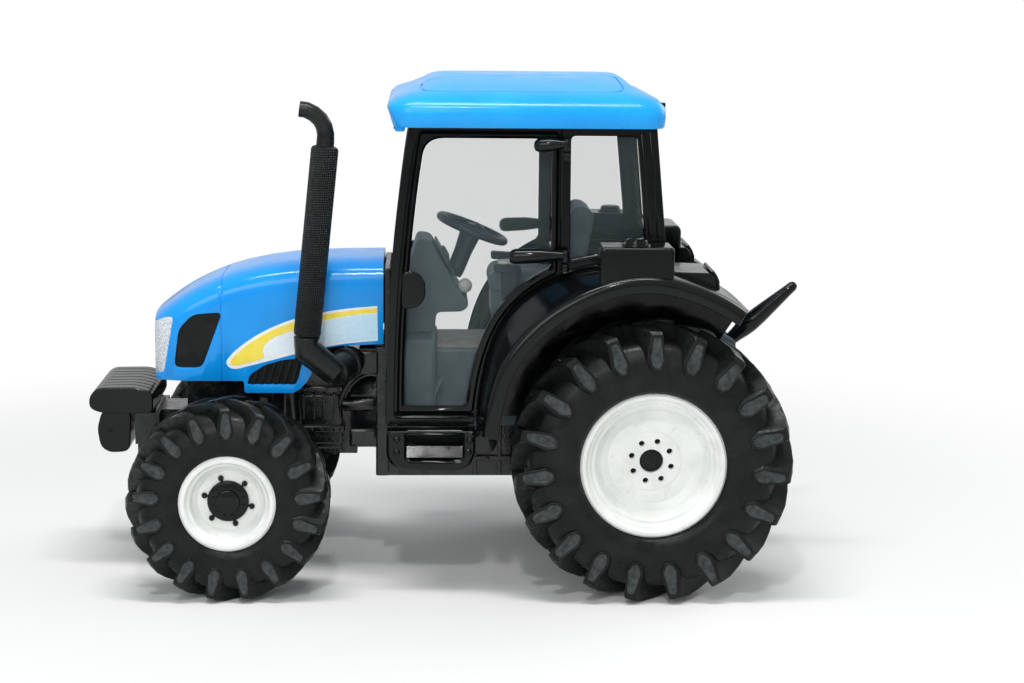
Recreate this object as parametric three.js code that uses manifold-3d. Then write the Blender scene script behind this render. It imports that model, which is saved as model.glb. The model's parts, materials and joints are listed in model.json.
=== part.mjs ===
// Toy farm tractor with a cab, 1:32 class, in millimetres.
// +X points forward, +Y to the tractor's left, +Z up. Inside the group, X is counted from the rear axle
// and Z from the ground. The group is shifted so that its origin lies on the ground below the middle.
import * as THREE from "three";
import { mergeVertices } from "three/addons/utils/BufferGeometryUtils.js";
import Module from "manifold-3d";

const wasm = await Module();
wasm.setup();

// ---- Driving dimensions ----

const WHEELBASE = 67.5;
const GAP = 0.3; // between two pieces that are mounted on each other
const SWING_GAP = 0.4; // round the edge of a door

const REAR_TYRE_RADIUS = 22.5;
const REAR_TYRE_WIDTH = 13;
const REAR_WHEEL_Y = 22.25; // middle of the tyre
const REAR_RIM_RADIUS = 11.7;
const REAR_RIM_WIDTH = 10.4;
const REAR_DISH_DEPTH = 3.7; // from the rim's outer face to the disc
const REAR_SHAFT_RADIUS = 1.9;

const FRONT_TYRE_RADIUS = 16.2;
const FRONT_TYRE_WIDTH = 10;
const FRONT_WHEEL_Y = 22.5;
const FRONT_RIM_RADIUS = 7.7;
const FRONT_RIM_WIDTH = 8.8;
const FRONT_DISH_DEPTH = 2.6;
const FRONT_HUB_RADIUS = 2.7;
const KINGPIN_Y = 15.2;
const KINGPIN_RADIUS = 0.8;
const KNUCKLE_RADIUS = 1.7;
const KNUCKLE_HEIGHT = 4.8;
const SPINDLE_RADIUS = 1.2;
const STEERING_ARM = 4;
const BEAM_HALF_DEPTH = 1.9; // front axle beam along X
const LUG_THICKNESS = 1.5;

const CAB_HALF_WIDTH = 19.7;
const CAB_WALL = 1.4;
const CAB_FRONT = 42.6; // foot of the front pillar
const CAB_FRONT_LEAN = 3.6; // how far the front pillar's head lies behind its foot
const CAB_REAR = -0.3; // head of the rear pillar
const CAB_REAR_SLOPE = 0.095; // how far the rear pillar runs back for each millimetre down
const SILL_BOTTOM = 27.6;
const EAVES = 75.1; // top of the pillars
const CAB_FRAME_TOP = 76.9;
const FRONT_PILLAR = 1.4;
const DOOR_REAR = 15.2;
const DOOR_BOTTOM = 29.4;
const DOOR_TOP = 74.7;
const DOOR_BAR = 1.1;
const MIDDLE_PILLAR = 1.5;
const REAR_PILLAR = 3.2;
const SIDE_SILL_RISE = 1.9; // quarter window's foot above the fender
const GLASS = 0.7;
const GLASS_GAP = 0.2;
const HINGE_X = DOOR_REAR - 1.1;
const HINGE_Y = 21.8;
const HINGE_RADIUS = 0.6;
const HINGE_HEIGHTS = [72.4, 54.8];
const HINGE_REACH = [3, 6]; // of each arm ahead of its pin
const WINDSCREEN_FOOT = 51.5;
const REAR_WINDOW_FOOT = 57;
const REAR_BOARD_FOOT = 49.5; // foot of the board below the rear window

const ROOF_FRONT = 42.4;
const ROOF_REAR = -1.6;
const ROOF_HALF_WIDTH = 22.6;
const ROOF_BOTTOM = 75.4;
const ROOF_HEIGHT = 7.7;

const FENDER_OUTER_Y = 28.3;
const FENDER_INNER_Y = 13.4;
const FENDER_SHEET = 1.3;
const FENDER_LIP_DEPTH = 2.5;
const FENDER_LIP_WIDTH = 1.1;
const FENDER_BOX_FRONT = 9;
const FENDER_BOX_LENGTH = 11.6;
const FENDER_BOX_TOP = 2 * REAR_TYRE_RADIUS + 12.4;
const SHELF_TOP = FENDER_BOX_TOP - 4.6;
const RIGHT_HOUSING_TOP = SHELF_TOP + 3.6;

const BONNET_HALF_WIDTH = 11;
const BONNET_BOTTOM = 33;
const BONNET_TOP = 53;
const BONNET_WALL = 1.3;
const NOSE_AHEAD = 13.2; // nose ahead of the front axle

const ENGINE_HALF_WIDTH = 6.2;
const ENGINE_BOTTOM = 19.5;
const EXHAUST_Y = 15;
const MUFFLER_RADIUS = 2.2;
const OUTLET_RADIUS = 1.3;
const WEIGHTS_AHEAD = 24; // front of the weights ahead of the front axle
const WEIGHTS_HALF_WIDTH = 9.5;
const WEIGHTS_TOP = 31.6;

const STEP_OUTER_Y = 24;
const STEP_FRONT = 42.4;
const STEP_REAR = 28.2;
const STEP_BOTTOM = 21;
const DRAWBAR_TOP = 10;
const DRAWBAR_SHEET = 1.6;
const DRAWBAR_PAD = 0.4; // how far the hitching pad stands above the bar
const DRAWBAR_REAR = -18;
const TOP_LINK_X = -14.5;
const TOP_LINK_Z = 37.2;
const TOP_LINK_RUN = 12.1;
const TOP_LINK_RISE = 10.7;
const LOWER_LINK_X = -6;
const LOWER_LINK_Z = 12.2;
const LOWER_LINK_END = -27.4;
const LOWER_LINK_END_Z = 10.6;
const LOWER_LINK_Y = 10;
const LINK_PIN_RADIUS = 0.8;

// ---- Materials ----

function material(color, roughness, metalness = 0, opacity = 1) {
  return new THREE.MeshStandardMaterial({ color, roughness, metalness, opacity, transparent: opacity < 1 });
}

const BLUE_ENAMEL = material(0x148fe0, 0.2);
const BLACK_PLASTIC = material(0x17191a, 0.3);
const BLACK_CASTING = material(0x1c1f20, 0.55, 0.3);
const MATT_BLACK = material(0x20252a, 0.75);
const TYRE_VINYL = material(0x1f2422, 0.6);
const WHITE_PLASTIC = material(0xedefec, 0.3);
const GREY_PLASTIC = material(0x545f62, 0.5);
const DARK_GREY_PLASTIC = material(0x2d373e, 0.45);
const SILVER_PLASTIC = material(0xced3df, 0.25, 0.6);
const CLEAR_STYRENE = material(0xdfeee8, 0.05, 0, 0.3);

// ---- Shape tools ----

function point(x, y) {
  return new THREE.Vector2(x, y);
}

// A closed three.js geometry as a solid that can be joined and cut.
function toSolid(geometry) {
  const bare = new THREE.BufferGeometry();
  bare.setAttribute("position", geometry.attributes.position);
  bare.setIndex(geometry.index);
  const merged = mergeVertices(bare, 1e-4);
  const source = merged.index.array;
  const corners = [];
  for (let i = 0; i < source.length; i += 3) {
    const [a, b, c] = source.slice(i, i + 3);
    if (a !== b && b !== c && c !== a) corners.push(a, b, c);
  }
  const vertProperties = Float32Array.from(merged.attributes.position.array);
  const build = (triangles) => {
    const mesh = new wasm.Mesh({ numProp: 3, vertProperties, triVerts: Uint32Array.from(triangles) });
    mesh.merge();
    return new wasm.Manifold(mesh);
  };
  const solid = build(corners);
  return solid.volume() > 0 ? solid : build(corners.reverse());
}

function toGeometry(solid) {
  const mesh = solid.getMesh();
  const geometry = new THREE.BufferGeometry();
  geometry.setAttribute("position", new THREE.BufferAttribute(Float32Array.from(mesh.vertProperties), 3));
  geometry.setIndex(new THREE.BufferAttribute(Uint32Array.from(mesh.triVerts), 1));
  geometry.computeVertexNormals();
  return geometry;
}

// The mirror image of a geometry across the middle plane.
function mirrored(geometry) {
  const twin = geometry.clone();
  twin.scale(1, -1, 1);
  twin.index.array.reverse();
  twin.computeVertexNormals();
  return twin;
}

function block(xLow, xHigh, yLow, yHigh, zLow, zHigh) {
  const geometry = new THREE.BoxGeometry(xHigh - xLow, yHigh - yLow, zHigh - zLow);
  geometry.translate((xLow + xHigh) / 2, (yLow + yHigh) / 2, (zLow + zHigh) / 2);
  return toSolid(geometry);
}

// An outline in X and Z, drawn out along Y.
function slab(outline, yLow, yHigh) {
  const geometry = new THREE.ExtrudeGeometry(new THREE.Shape(outline), {
    depth: yHigh - yLow,
    bevelEnabled: false,
  });
  geometry.rotateX(Math.PI / 2);
  geometry.translate(0, yHigh, 0);
  return toSolid(geometry);
}

// A round bar between two points, which may taper.
function bar(from, to, fromRadius, toRadius = fromRadius, sides = 16) {
  const start = new THREE.Vector3(...from);
  const run = new THREE.Vector3(...to).sub(start);
  const geometry = new THREE.CylinderGeometry(toRadius, fromRadius, run.length(), sides);
  geometry.translate(0, run.length() / 2, 0);
  geometry.applyQuaternion(
    new THREE.Quaternion().setFromUnitVectors(new THREE.Vector3(0, 1, 0), run.clone().normalize()),
  );
  geometry.translate(start.x, start.y, start.z);
  return toSolid(geometry);
}

// A round pipe along a smooth curve.
function pipe(route, radius, steps, sides = 14) {
  const circle = new THREE.Shape();
  circle.absarc(0, 0, radius, 0, 2 * Math.PI);
  const geometry = new THREE.ExtrudeGeometry(circle, {
    extrudePath: new THREE.CatmullRomCurve3(route.map((place) => new THREE.Vector3(...place))),
    steps,
    curveSegments: sides / 2,
    bevelEnabled: false,
  });
  return toSolid(geometry);
}

// A turned body on a Y axis through a centre. The outline holds radius and distance along Y.
function turned(outline, sides, centre) {
  const geometry = new THREE.LatheGeometry(outline, sides);
  geometry.translate(...centre);
  return toSolid(geometry);
}

// A closed skin over rings that have the same number of points, with flat ends across the given axis.
function loft(rings, axis) {
  const count = rings[0].length;
  const positions = rings.flat().flatMap((place) => place.toArray());
  const index = [];
  for (let ring = 0; ring + 1 < rings.length; ring += 1) {
    for (let i = 0; i < count; i += 1) {
      const a = ring * count + i;
      const b = ring * count + ((i + 1) % count);
      index.push(a, b, b + count, a, b + count, a + count);
    }
  }
  const [across, up] = { x: ["y", "z"], y: ["z", "x"], z: ["x", "y"] }[axis];
  const flat = (place) => point(place[across], place[up]);
  const faces = THREE.ShapeUtils.triangulateShape(rings[0].map(flat), []);
  const last = (rings.length - 1) * count;
  const forward = THREE.ShapeUtils.area(rings[0].map(flat)) > 0;
  const rising = rings.at(-1)[0][axis] > rings[0][0][axis];
  const startFlip = forward === rising;
  for (const [a, b, c] of faces) {
    index.push(...(startFlip ? [c, b, a] : [a, b, c]));
    index.push(...(startFlip ? [last + a, last + b, last + c] : [last + c, last + b, last + a]));
  }
  const geometry = new THREE.BufferGeometry();
  geometry.setAttribute("position", new THREE.Float32BufferAttribute(positions, 3));
  geometry.setIndex(index);
  return toSolid(geometry);
}

const tractor = new THREE.Group();

function addPart(name, solid, look) {
  const mesh = new THREE.Mesh(toGeometry(solid), look);
  mesh.name = name;
  tractor.add(mesh);
}

// The same piece on the left and, mirrored, on the right. A right piece of its own is drawn as a left one.
function addPair(name, leftSolid, look, rightSolid = leftSolid) {
  const right = mirrored(toGeometry(rightSolid));
  for (const [side, geometry] of [["left", toGeometry(leftSolid)], ["right", right]]) {
    const mesh = new THREE.Mesh(geometry, look);
    mesh.name = `${name}_${side}`;
    tractor.add(mesh);
  }
}

// ---- Wheels ----

// A tyre's outline: round shoulders, bulging walls and a bore that clears the rim.
function tyreOutline(radius, width, bore) {
  const half = width / 2;
  const wall = radius - bore;
  return [
    point(bore, -half * 0.78),
    point(bore + wall * 0.3, -half),
    point(radius - wall * 0.22, -half),
    point(radius - wall * 0.05, -half * 0.82),
    point(radius, -half * 0.45),
    point(radius, half * 0.45),
    point(radius - wall * 0.05, half * 0.82),
    point(radius - wall * 0.22, half),
    point(bore + wall * 0.3, half),
    point(bore, half * 0.78),
    point(bore, -half * 0.78),
  ];
}

const REAR_HUB = [0, REAR_WHEEL_Y, REAR_TYRE_RADIUS];
const FRONT_HUB = [WHEELBASE, FRONT_WHEEL_Y, FRONT_TYRE_RADIUS];
const REAR_SIDES = 40;
const FRONT_SIDES = 32;
const REAR_DISC = 1.2;
const SHAFT_DEPTH = 4; // of each wheel's shaft inside the axle housing
const rearFace = REAR_RIM_WIDTH / 2;
const rearDisc = rearFace - REAR_DISH_DEPTH;
const axleHousingEnd = FENDER_INNER_Y + 0.6;
const rearRim = turned([
  point(0, rearDisc - 0.6),
  point(REAR_SHAFT_RADIUS + 0.6, rearDisc - 0.6),
  point(REAR_SHAFT_RADIUS + 0.8, rearDisc),
  point(REAR_RIM_RADIUS - 3.2, rearDisc + 0.5),
  point(REAR_RIM_RADIUS - 1.7, rearFace - 1.3),
  point(REAR_RIM_RADIUS - 0.9, rearFace),
  point(REAR_RIM_RADIUS, rearFace),
  point(REAR_RIM_RADIUS, -rearFace),
  point(REAR_RIM_RADIUS - 1.3, -rearFace),
  point(REAR_RIM_RADIUS - 2.3, rearDisc - REAR_DISC),
  point(REAR_SHAFT_RADIUS + 1.6, rearDisc - REAR_DISC),
  point(REAR_SHAFT_RADIUS, rearDisc - REAR_DISC - 1.5),
  point(REAR_SHAFT_RADIUS - GAP, axleHousingEnd - SHAFT_DEPTH - REAR_WHEEL_Y),
  point(0, axleHousingEnd - SHAFT_DEPTH - REAR_WHEEL_Y),
], REAR_SIDES, REAR_HUB);
const rearTyre = tyreOutline(REAR_TYRE_RADIUS, REAR_TYRE_WIDTH, REAR_RIM_RADIUS + GAP);
addPair("rear_rim", rearRim, WHITE_PLASTIC);
addPair("rear_tyre", turned(rearTyre, REAR_SIDES, REAR_HUB), TYRE_VINYL);

const frontFace = FRONT_RIM_WIDTH / 2;
const frontDisc = frontFace - FRONT_DISH_DEPTH;
const hubBore = FRONT_HUB_RADIUS + GAP;
const frontRim = turned([
  point(hubBore, frontDisc),
  point(FRONT_RIM_RADIUS - 2.2, frontDisc + 0.3),
  point(FRONT_RIM_RADIUS - 1.3, frontFace - 0.9),
  point(FRONT_RIM_RADIUS - 0.7, frontFace),
  point(FRONT_RIM_RADIUS, frontFace),
  point(FRONT_RIM_RADIUS, -frontFace),
  point(FRONT_RIM_RADIUS - 1, -frontFace),
  point(FRONT_RIM_RADIUS - 1.8, frontDisc - 1),
  point(hubBore, frontDisc - 1),
  point(hubBore, frontDisc),
], FRONT_SIDES, FRONT_HUB);
const frontHub = turned([
  point(0, frontFace - 1),
  point(1.5, frontFace - 1),
  point(2, frontDisc + 0.9),
  point(FRONT_HUB_RADIUS + 1.3, frontDisc + 0.7),
  point(FRONT_HUB_RADIUS + 1.3, frontDisc + GAP),
  point(FRONT_HUB_RADIUS, frontDisc + GAP),
  point(FRONT_HUB_RADIUS, -3.2),
  point(SPINDLE_RADIUS + GAP, -3.2),
  point(SPINDLE_RADIUS + GAP, -0.2),
  point(0, -0.2),
], 24, FRONT_HUB);
const frontTyre = tyreOutline(FRONT_TYRE_RADIUS, FRONT_TYRE_WIDTH, FRONT_RIM_RADIUS + GAP);
addPair("front_rim", frontRim, WHITE_PLASTIC);
addPair("front_hub", frontHub, BLACK_PLASTIC);
addPair("front_tyre", turned(frontTyre, FRONT_SIDES, FRONT_HUB), TYRE_VINYL);

// ---- Front axle and steering ----

const axleZ = FRONT_TYRE_RADIUS;
const knuckleTop = axleZ + KNUCKLE_HEIGHT / 2;
const knuckleBottom = axleZ - KNUCKLE_HEIGHT / 2;
const armTop = knuckleBottom + 1.4;
const spindleEnd = FRONT_WHEEL_Y - 0.2 - GAP;
const knuckle = bar([WHEELBASE, KINGPIN_Y, knuckleBottom], [WHEELBASE, KINGPIN_Y, knuckleTop], KNUCKLE_RADIUS)
  .add(bar([WHEELBASE, KINGPIN_Y, knuckleBottom - LUG_THICKNESS], [WHEELBASE, KINGPIN_Y,
    knuckleTop + LUG_THICKNESS], KINGPIN_RADIUS))
  .add(bar([WHEELBASE, KINGPIN_Y, axleZ], [WHEELBASE, spindleEnd, axleZ], SPINDLE_RADIUS))
  .add(block(WHEELBASE - STEERING_ARM - 0.8, WHEELBASE, KINGPIN_Y - 0.8, KINGPIN_Y + 0.8, knuckleBottom,
    armTop));
addPair("knuckle", knuckle, BLACK_CASTING);

const tieRod = block(WHEELBASE - STEERING_ARM - 0.8, WHEELBASE - STEERING_ARM + 0.8, -KINGPIN_Y - 0.9,
  KINGPIN_Y + 0.9, armTop + GAP, armTop + GAP + 1.2);
addPart("tie_rod", tieRod, BLACK_CASTING);

function beamLug(side, zLow) {
  const eyeY = side * KINGPIN_Y;
  const rootY = side * (KINGPIN_Y - 3.4);
  return bar([WHEELBASE, eyeY, zLow], [WHEELBASE, eyeY, zLow + LUG_THICKNESS], BEAM_HALF_DEPTH)
    .add(block(WHEELBASE - BEAM_HALF_DEPTH, WHEELBASE + BEAM_HALF_DEPTH, Math.min(eyeY, rootY),
      Math.max(eyeY, rootY), zLow, zLow + LUG_THICKNESS))
    .subtract(bar([WHEELBASE, eyeY, zLow - 1], [WHEELBASE, eyeY, zLow + LUG_THICKNESS + 1],
      KINGPIN_RADIUS + GAP));
}

const beamEnd = KINGPIN_Y - KNUCKLE_RADIUS - GAP;
const pivotBoss = bar([WHEELBASE - BEAM_HALF_DEPTH - 0.9, 0, axleZ], [WHEELBASE + 3.6, 0, axleZ], 2.6);
let frontAxle = block(WHEELBASE - BEAM_HALF_DEPTH, WHEELBASE + BEAM_HALF_DEPTH, -beamEnd, beamEnd,
  axleZ - 1.6, axleZ + 1.6).add(pivotBoss);
for (const side of [-1, 1]) {
  const webLow = Math.min(side * beamEnd, side * (beamEnd - 1.8));
  frontAxle = frontAxle
    .add(block(WHEELBASE - BEAM_HALF_DEPTH, WHEELBASE + BEAM_HALF_DEPTH, webLow, webLow + 1.8,
      knuckleBottom - GAP - LUG_THICKNESS, knuckleTop + GAP + LUG_THICKNESS))
    .add(beamLug(side, knuckleTop + GAP))
    .add(beamLug(side, knuckleBottom - GAP - LUG_THICKNESS));
}
addPart("front_axle", frontAxle, BLACK_CASTING);

// ---- Chassis castings ----

const nose = WHEELBASE + NOSE_AHEAD;
const supportBottom = axleZ + 2.6 + GAP;
const supportTop = 27.2;
const supportFront = WHEELBASE + 16.8;
const engineFront = nose - 5;
const gearboxFront = CAB_FRONT + 1;
const GEARBOX_HALF_WIDTH = 6.4;
const GEARBOX_BOTTOM = 16;
const HOUSING_BOTTOM = GEARBOX_BOTTOM + 0.5;
const BRACKET_FRONT = -8.7;
const BRACKET_HALF_WIDTH = 3.4;
const BRACKET_FOOT = REAR_TYRE_RADIUS + 10.7;
const BRACKET_TOP = BRACKET_FOOT + 11.6;
const bonnetRear = CAB_FRONT + 0.5;
const frontSupport = block(WHEELBASE - 4, supportFront, -4.6, 4.6, supportBottom, supportTop - GAP)
  .add(block(supportFront - 4, supportFront, -7.5, 7.5, 21.6, supportTop - GAP))
  .subtract(bar([WHEELBASE - 9, 0, axleZ], [WHEELBASE + 5, 0, axleZ], 2.6 + GAP))
  .subtract(block(WHEELBASE - 9, WHEELBASE + 3, -20, 20, 0, axleZ + 1.6 + GAP));
addPart("front_support", frontSupport, BLACK_CASTING);

const cylinderHead = block(gearboxFront + 6, nose - 10, -8, 8, 34, BONNET_TOP - 6.5)
  .intersect(bonnetSkin(BONNET_WALL + GAP));
const clutchHousing = bar([gearboxFront + GAP, 0, 28], [gearboxFront + 5, 0, 28], 8.6, 7.6, 24);
const engine = block(gearboxFront + 4, engineFront, -ENGINE_HALF_WIDTH, ENGINE_HALF_WIDTH,
  supportTop, 36)
  .add(block(gearboxFront + 4, WHEELBASE - 4 - GAP, -5, 5, ENGINE_BOTTOM, supportTop + 1))
  .add(clutchHousing)
  .add(cylinderHead);
addPart("engine", engine, BLACK_CASTING);

const axleHousing = turned([
  point(0, -axleHousingEnd + SHAFT_DEPTH + GAP),
  point(REAR_SHAFT_RADIUS, -axleHousingEnd + SHAFT_DEPTH + GAP),
  point(REAR_SHAFT_RADIUS, -axleHousingEnd),
  point(4, -axleHousingEnd),
  point(4, -axleHousingEnd + 2),
  point(3.2, -axleHousingEnd + 3),
  point(4.6, -6),
  point(4.6, 6),
  point(3.2, axleHousingEnd - 3),
  point(4, axleHousingEnd - 2),
  point(4, axleHousingEnd),
  point(REAR_SHAFT_RADIUS, axleHousingEnd),
  point(REAR_SHAFT_RADIUS, axleHousingEnd - SHAFT_DEPTH - GAP),
  point(0, axleHousingEnd - SHAFT_DEPTH - GAP),
], 24, [0, 0, REAR_TYRE_RADIUS]);
const rearHousing = block(-9, 7, -7, 7, HOUSING_BOTTOM, REAR_TYRE_RADIUS + 7.5);
const gearbox = block(6, gearboxFront, -GEARBOX_HALF_WIDTH, GEARBOX_HALF_WIDTH, GEARBOX_BOTTOM,
  SILL_BOTTOM - 2.2);
const drawbar = slab([
  point(DRAWBAR_REAR, DRAWBAR_TOP - DRAWBAR_SHEET),
  point(1.5, DRAWBAR_TOP - DRAWBAR_SHEET),
  point(5.2, HOUSING_BOTTOM + 0.5),
  point(-4, HOUSING_BOTTOM + 0.5),
  point(-7.6, DRAWBAR_TOP - DRAWBAR_PAD),
  point(DRAWBAR_REAR + 5, DRAWBAR_TOP - DRAWBAR_PAD),
  point(DRAWBAR_REAR + 5, DRAWBAR_TOP),
  point(DRAWBAR_REAR, DRAWBAR_TOP),
], -2, 2);
const bracketSeat = block(BRACKET_FRONT - 4.5, -8.5, -BRACKET_HALF_WIDTH, BRACKET_HALF_WIDTH,
  REAR_TYRE_RADIUS + 3.5, BRACKET_FOOT);
const linkPinEnd = LOWER_LINK_Y + 1.6;
const linkPin = bar([LOWER_LINK_X, -linkPinEnd, LOWER_LINK_Z], [LOWER_LINK_X, linkPinEnd, LOWER_LINK_Z],
  LINK_PIN_RADIUS)
  .add(block(LOWER_LINK_X - 1, LOWER_LINK_X + 1, -5, 5, LOWER_LINK_Z - 0.6, HOUSING_BOTTOM + 1));
const transmission = axleHousing.add(rearHousing).add(gearbox).add(drawbar).add(bracketSeat).add(linkPin);
addPart("transmission", transmission, BLACK_CASTING);

// ---- Front weights ----

const weightsFront = WHEELBASE + WEIGHTS_AHEAD;
const weightsRear = weightsFront - 10.5;
const weights = slab([
  point(weightsRear, supportTop),
  point(supportFront + GAP, supportTop),
  point(supportFront + GAP + 0.5, 20.6),
  point(weightsFront - 3, 20.4),
  point(weightsFront - 1.5, 21.4),
  point(weightsFront - 1.1, 24.5),
  point(weightsFront - 2, 26.9),
  point(weightsFront, 28),
  point(weightsFront, WEIGHTS_TOP - 1.9),
  point(weightsFront - 0.9, WEIGHTS_TOP - 0.7),
  point(weightsFront - 3.1, WEIGHTS_TOP),
  point(weightsRear + 3, WEIGHTS_TOP),
  point(weightsRear, WEIGHTS_TOP - 0.6),
], -WEIGHTS_HALF_WIDTH, WEIGHTS_HALF_WIDTH);
const underNose = block(weightsRear - 1, nose + 1, -20, 20, BONNET_BOTTOM - 1, 40);
addPart("front_weights", weights.subtract(underNose), BLACK_PLASTIC);

// ---- Bonnet ----

// Height of the bonnet's ridge and its half width at a distance behind the nose.
function bonnetTop(back, drop) {
  const reach = nose - bonnetRear;
  const share = Math.min(1, Math.max(0, back / reach));
  return BONNET_TOP - drop - 9 * (1 - share) ** 3.2 * (1 - 0.25 * share) - 0.4 * (1 - share);
}

function bonnetSection(x, inset) {
  const back = nose - x;
  const corner = 6;
  const narrowing = back < corner ? 3.2 * (1 - Math.sqrt(1 - (1 - back / corner) ** 2)) : 0;
  const half = BONNET_HALF_WIDTH - narrowing - inset;
  const top = bonnetTop(back, inset);
  const shoulder = 4.2 - inset * 0.5;
  const bottom = BONNET_BOTTOM - 3 - inset * 4;
  const section = [];
  const steps = 12;
  for (let i = 0; i <= steps; i += 1) {
    const angle = (Math.PI * i) / steps;
    const across = Math.cos(angle);
    const up = Math.sin(angle);
    section.push(new THREE.Vector3(
      x,
      half * Math.sign(across) * Math.abs(across) ** 0.45,
      top - shoulder + shoulder * up ** 0.7,
    ));
  }
  section.push(new THREE.Vector3(x, -half, bottom), new THREE.Vector3(x, half, bottom));
  return section;
}

function bonnetSkin(inset) {
  const rear = bonnetRear - inset * 4;
  const front = nose - inset;
  const stations = [rear, bonnetRear + 8, bonnetRear + 16, bonnetRear + 23, nose - 8.5, nose - 6, nose - 4,
    nose - 2.2, front];
  return loft(stations.map((x) => bonnetSection(x, inset)), "x");
}

// The bonnet's lower edge seen from the side: level under the nose, down round the louvre, up to the cab.
const louvreFront = nose - 15;
const louvreRear = nose - 26.5;
const belowBonnet = slab([
  point(nose + 5, BONNET_BOTTOM),
  point(louvreFront + 0.2, BONNET_BOTTOM),
  point(louvreFront, BONNET_BOTTOM - 1.9),
  point(louvreFront - 7.8, BONNET_BOTTOM - 2),
  point(louvreRear + 0.4, BONNET_BOTTOM + 2),
  point(louvreRear, BONNET_BOTTOM + 5.3),
  point(bonnetRear - 5, BONNET_BOTTOM + 6.4),
  point(bonnetRear - 5, 10),
  point(nose + 5, 10),
], -20, 20);
const bonnetShell = bonnetSkin(0).subtract(bonnetSkin(BONNET_WALL)).subtract(belowBonnet);

function outlineNearNose(pairs, grow) {
  const centreX = pairs.reduce((sum, [back]) => sum + back, 0) / pairs.length;
  const centreZ = pairs.reduce((sum, [, z]) => sum + z, 0) / pairs.length;
  return pairs.map(([back, z]) => point(
    nose - back - Math.sign(back - centreX) * grow,
    BONNET_BOTTOM + z + Math.sign(z - centreZ) * grow,
  ));
}

const INTAKE = [[3.5, 2.3], [7.9, 2.3], [11.3, 11.2], [9.6, 11.5], [6, 10.4]];
const LOUVRE = [[16.2, -1.2], [22, -1.2], [24.6, 2.2], [23.2, 4], [17.2, 2.4]];
const LAMP = [[-2, 1.1], [1.7, 1.1], [3.2, 10.4], [1.3, 10.2], [-2, 8]];
const MOUTH_HALF_WIDTH = 4;

// A panel let into the bonnet's wall: the panel, and the hole that takes it.
function wallPanel(outline, yLow, yHigh) {
  return bonnetShell.intersect(slab(outlineNearNose(outline, -GLASS_GAP), yLow, yHigh));
}

function wallHole(outline, yLow, yHigh) {
  return slab(outlineNearNose(outline, 0), yLow, yHigh);
}

let bonnet = bonnetShell;
for (const side of [-1, 1]) {
  const near = side > 0 ? 6 : -15;
  const far = side > 0 ? 15 : -6;
  bonnet = bonnet.subtract(wallHole(INTAKE, near, far)).subtract(wallHole(LOUVRE, near, far));
  const lampNear = side > 0 ? MOUTH_HALF_WIDTH : -15;
  const lampFar = side > 0 ? 15 : -MOUTH_HALF_WIDTH;
  bonnet = bonnet.subtract(wallHole(LAMP, lampNear, lampFar));
}
const mouth = [[-3, 1.1], [1.8, 1.1], [2.6, 8], [-3, 8]];
bonnet = bonnet.subtract(slab(outlineNearNose(mouth, 0), -MOUTH_HALF_WIDTH + GAP, MOUTH_HALF_WIDTH - GAP));
addPart("bonnet", bonnet, BLUE_ENAMEL);
addPair("side_grille", wallPanel(INTAKE, 6, 15), MATT_BLACK);
addPair("bonnet_louvre", wallPanel(LOUVRE, 6, 15), MATT_BLACK);
addPair("headlamp", wallPanel(LAMP, MOUTH_HALF_WIDTH + GLASS_GAP, 15), SILVER_PLASTIC);
const grilleHalfWidth = MOUTH_HALF_WIDTH - GAP - GLASS_GAP;
addPart("front_grille", wallPanel(mouth, -grilleHalfWidth, grilleHalfWidth), MATT_BLACK);

// ---- Exhaust ----

const mufflerX = CAB_FRONT + 12.7;
const mufflerTopX = CAB_FRONT + 9.6;
const MUFFLER_BOTTOM = 42;
const MUFFLER_TOP = 72;
const muffler = bar([mufflerX, EXHAUST_Y, MUFFLER_BOTTOM], [mufflerTopX, EXHAUST_Y, MUFFLER_TOP],
  MUFFLER_RADIUS, MUFFLER_RADIUS, 20)
  .add(pipe([
    [mufflerTopX, EXHAUST_Y, MUFFLER_TOP - 0.5],
    [mufflerTopX + 0.1, EXHAUST_Y, MUFFLER_TOP + 1.4],
    [mufflerTopX + 1.2, EXHAUST_Y, MUFFLER_TOP + 3.8],
    [mufflerTopX + 3.8, EXHAUST_Y, MUFFLER_TOP + 6.1],
  ], OUTLET_RADIUS, 6));
addPart("exhaust_muffler", muffler, MATT_BLACK);
const elbow = pipe([
  [mufflerX + 0.1, EXHAUST_Y, MUFFLER_BOTTOM - GAP],
  [mufflerX + 0.2, EXHAUST_Y, 39.6],
  [mufflerX - 1.6, EXHAUST_Y - 0.5, 36.9],
  [mufflerX - 5, EXHAUST_Y - 3, 36],
  [mufflerX - 6.6, ENGINE_HALF_WIDTH + 3.4, 36],
], MUFFLER_RADIUS - 0.1, 8, 12);
addPart("exhaust_elbow", elbow, MATT_BLACK);

// ---- Fenders ----

// How far a fender's crest stands above the tyre, against the angle up from the front of the wheel:
// where it meets the cab, and along its outer lip.
const AT_CAB = new THREE.SplineCurve([point(10, 6), point(23, 7.3), point(44, 10.1), point(60, 10.5),
  point(75, 9.5), point(90, 8.2), point(102, 7), point(113, 6.9), point(123, 6)]);
const AT_LIP = new THREE.SplineCurve([point(10, 5), point(23, 5.9), point(36, 7), point(60, 7.6),
  point(85, 7.9), point(102, 7), point(112, 6.4), point(119.5, 6)]);
const FENDER_STEPS = 18;

function fenderLine(curve, rise, start = 0, end = 1, steps = FENDER_STEPS) {
  const line = [];
  for (let i = 0; i <= steps; i += 1) {
    const sample = curve.getPoint(start + ((end - start) * i) / steps);
    const angle = (sample.x * Math.PI) / 180;
    const radius = REAR_TYRE_RADIUS + sample.y + rise;
    line.push(point(radius * Math.cos(angle), REAR_TYRE_RADIUS + radius * Math.sin(angle)));
  }
  return line;
}

function fenderRing(y, curve, top, bottom) {
  return [...fenderLine(curve, top), ...fenderLine(curve, bottom).reverse()]
    .map((place) => new THREE.Vector3(place.x, y, place.y));
}

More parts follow.
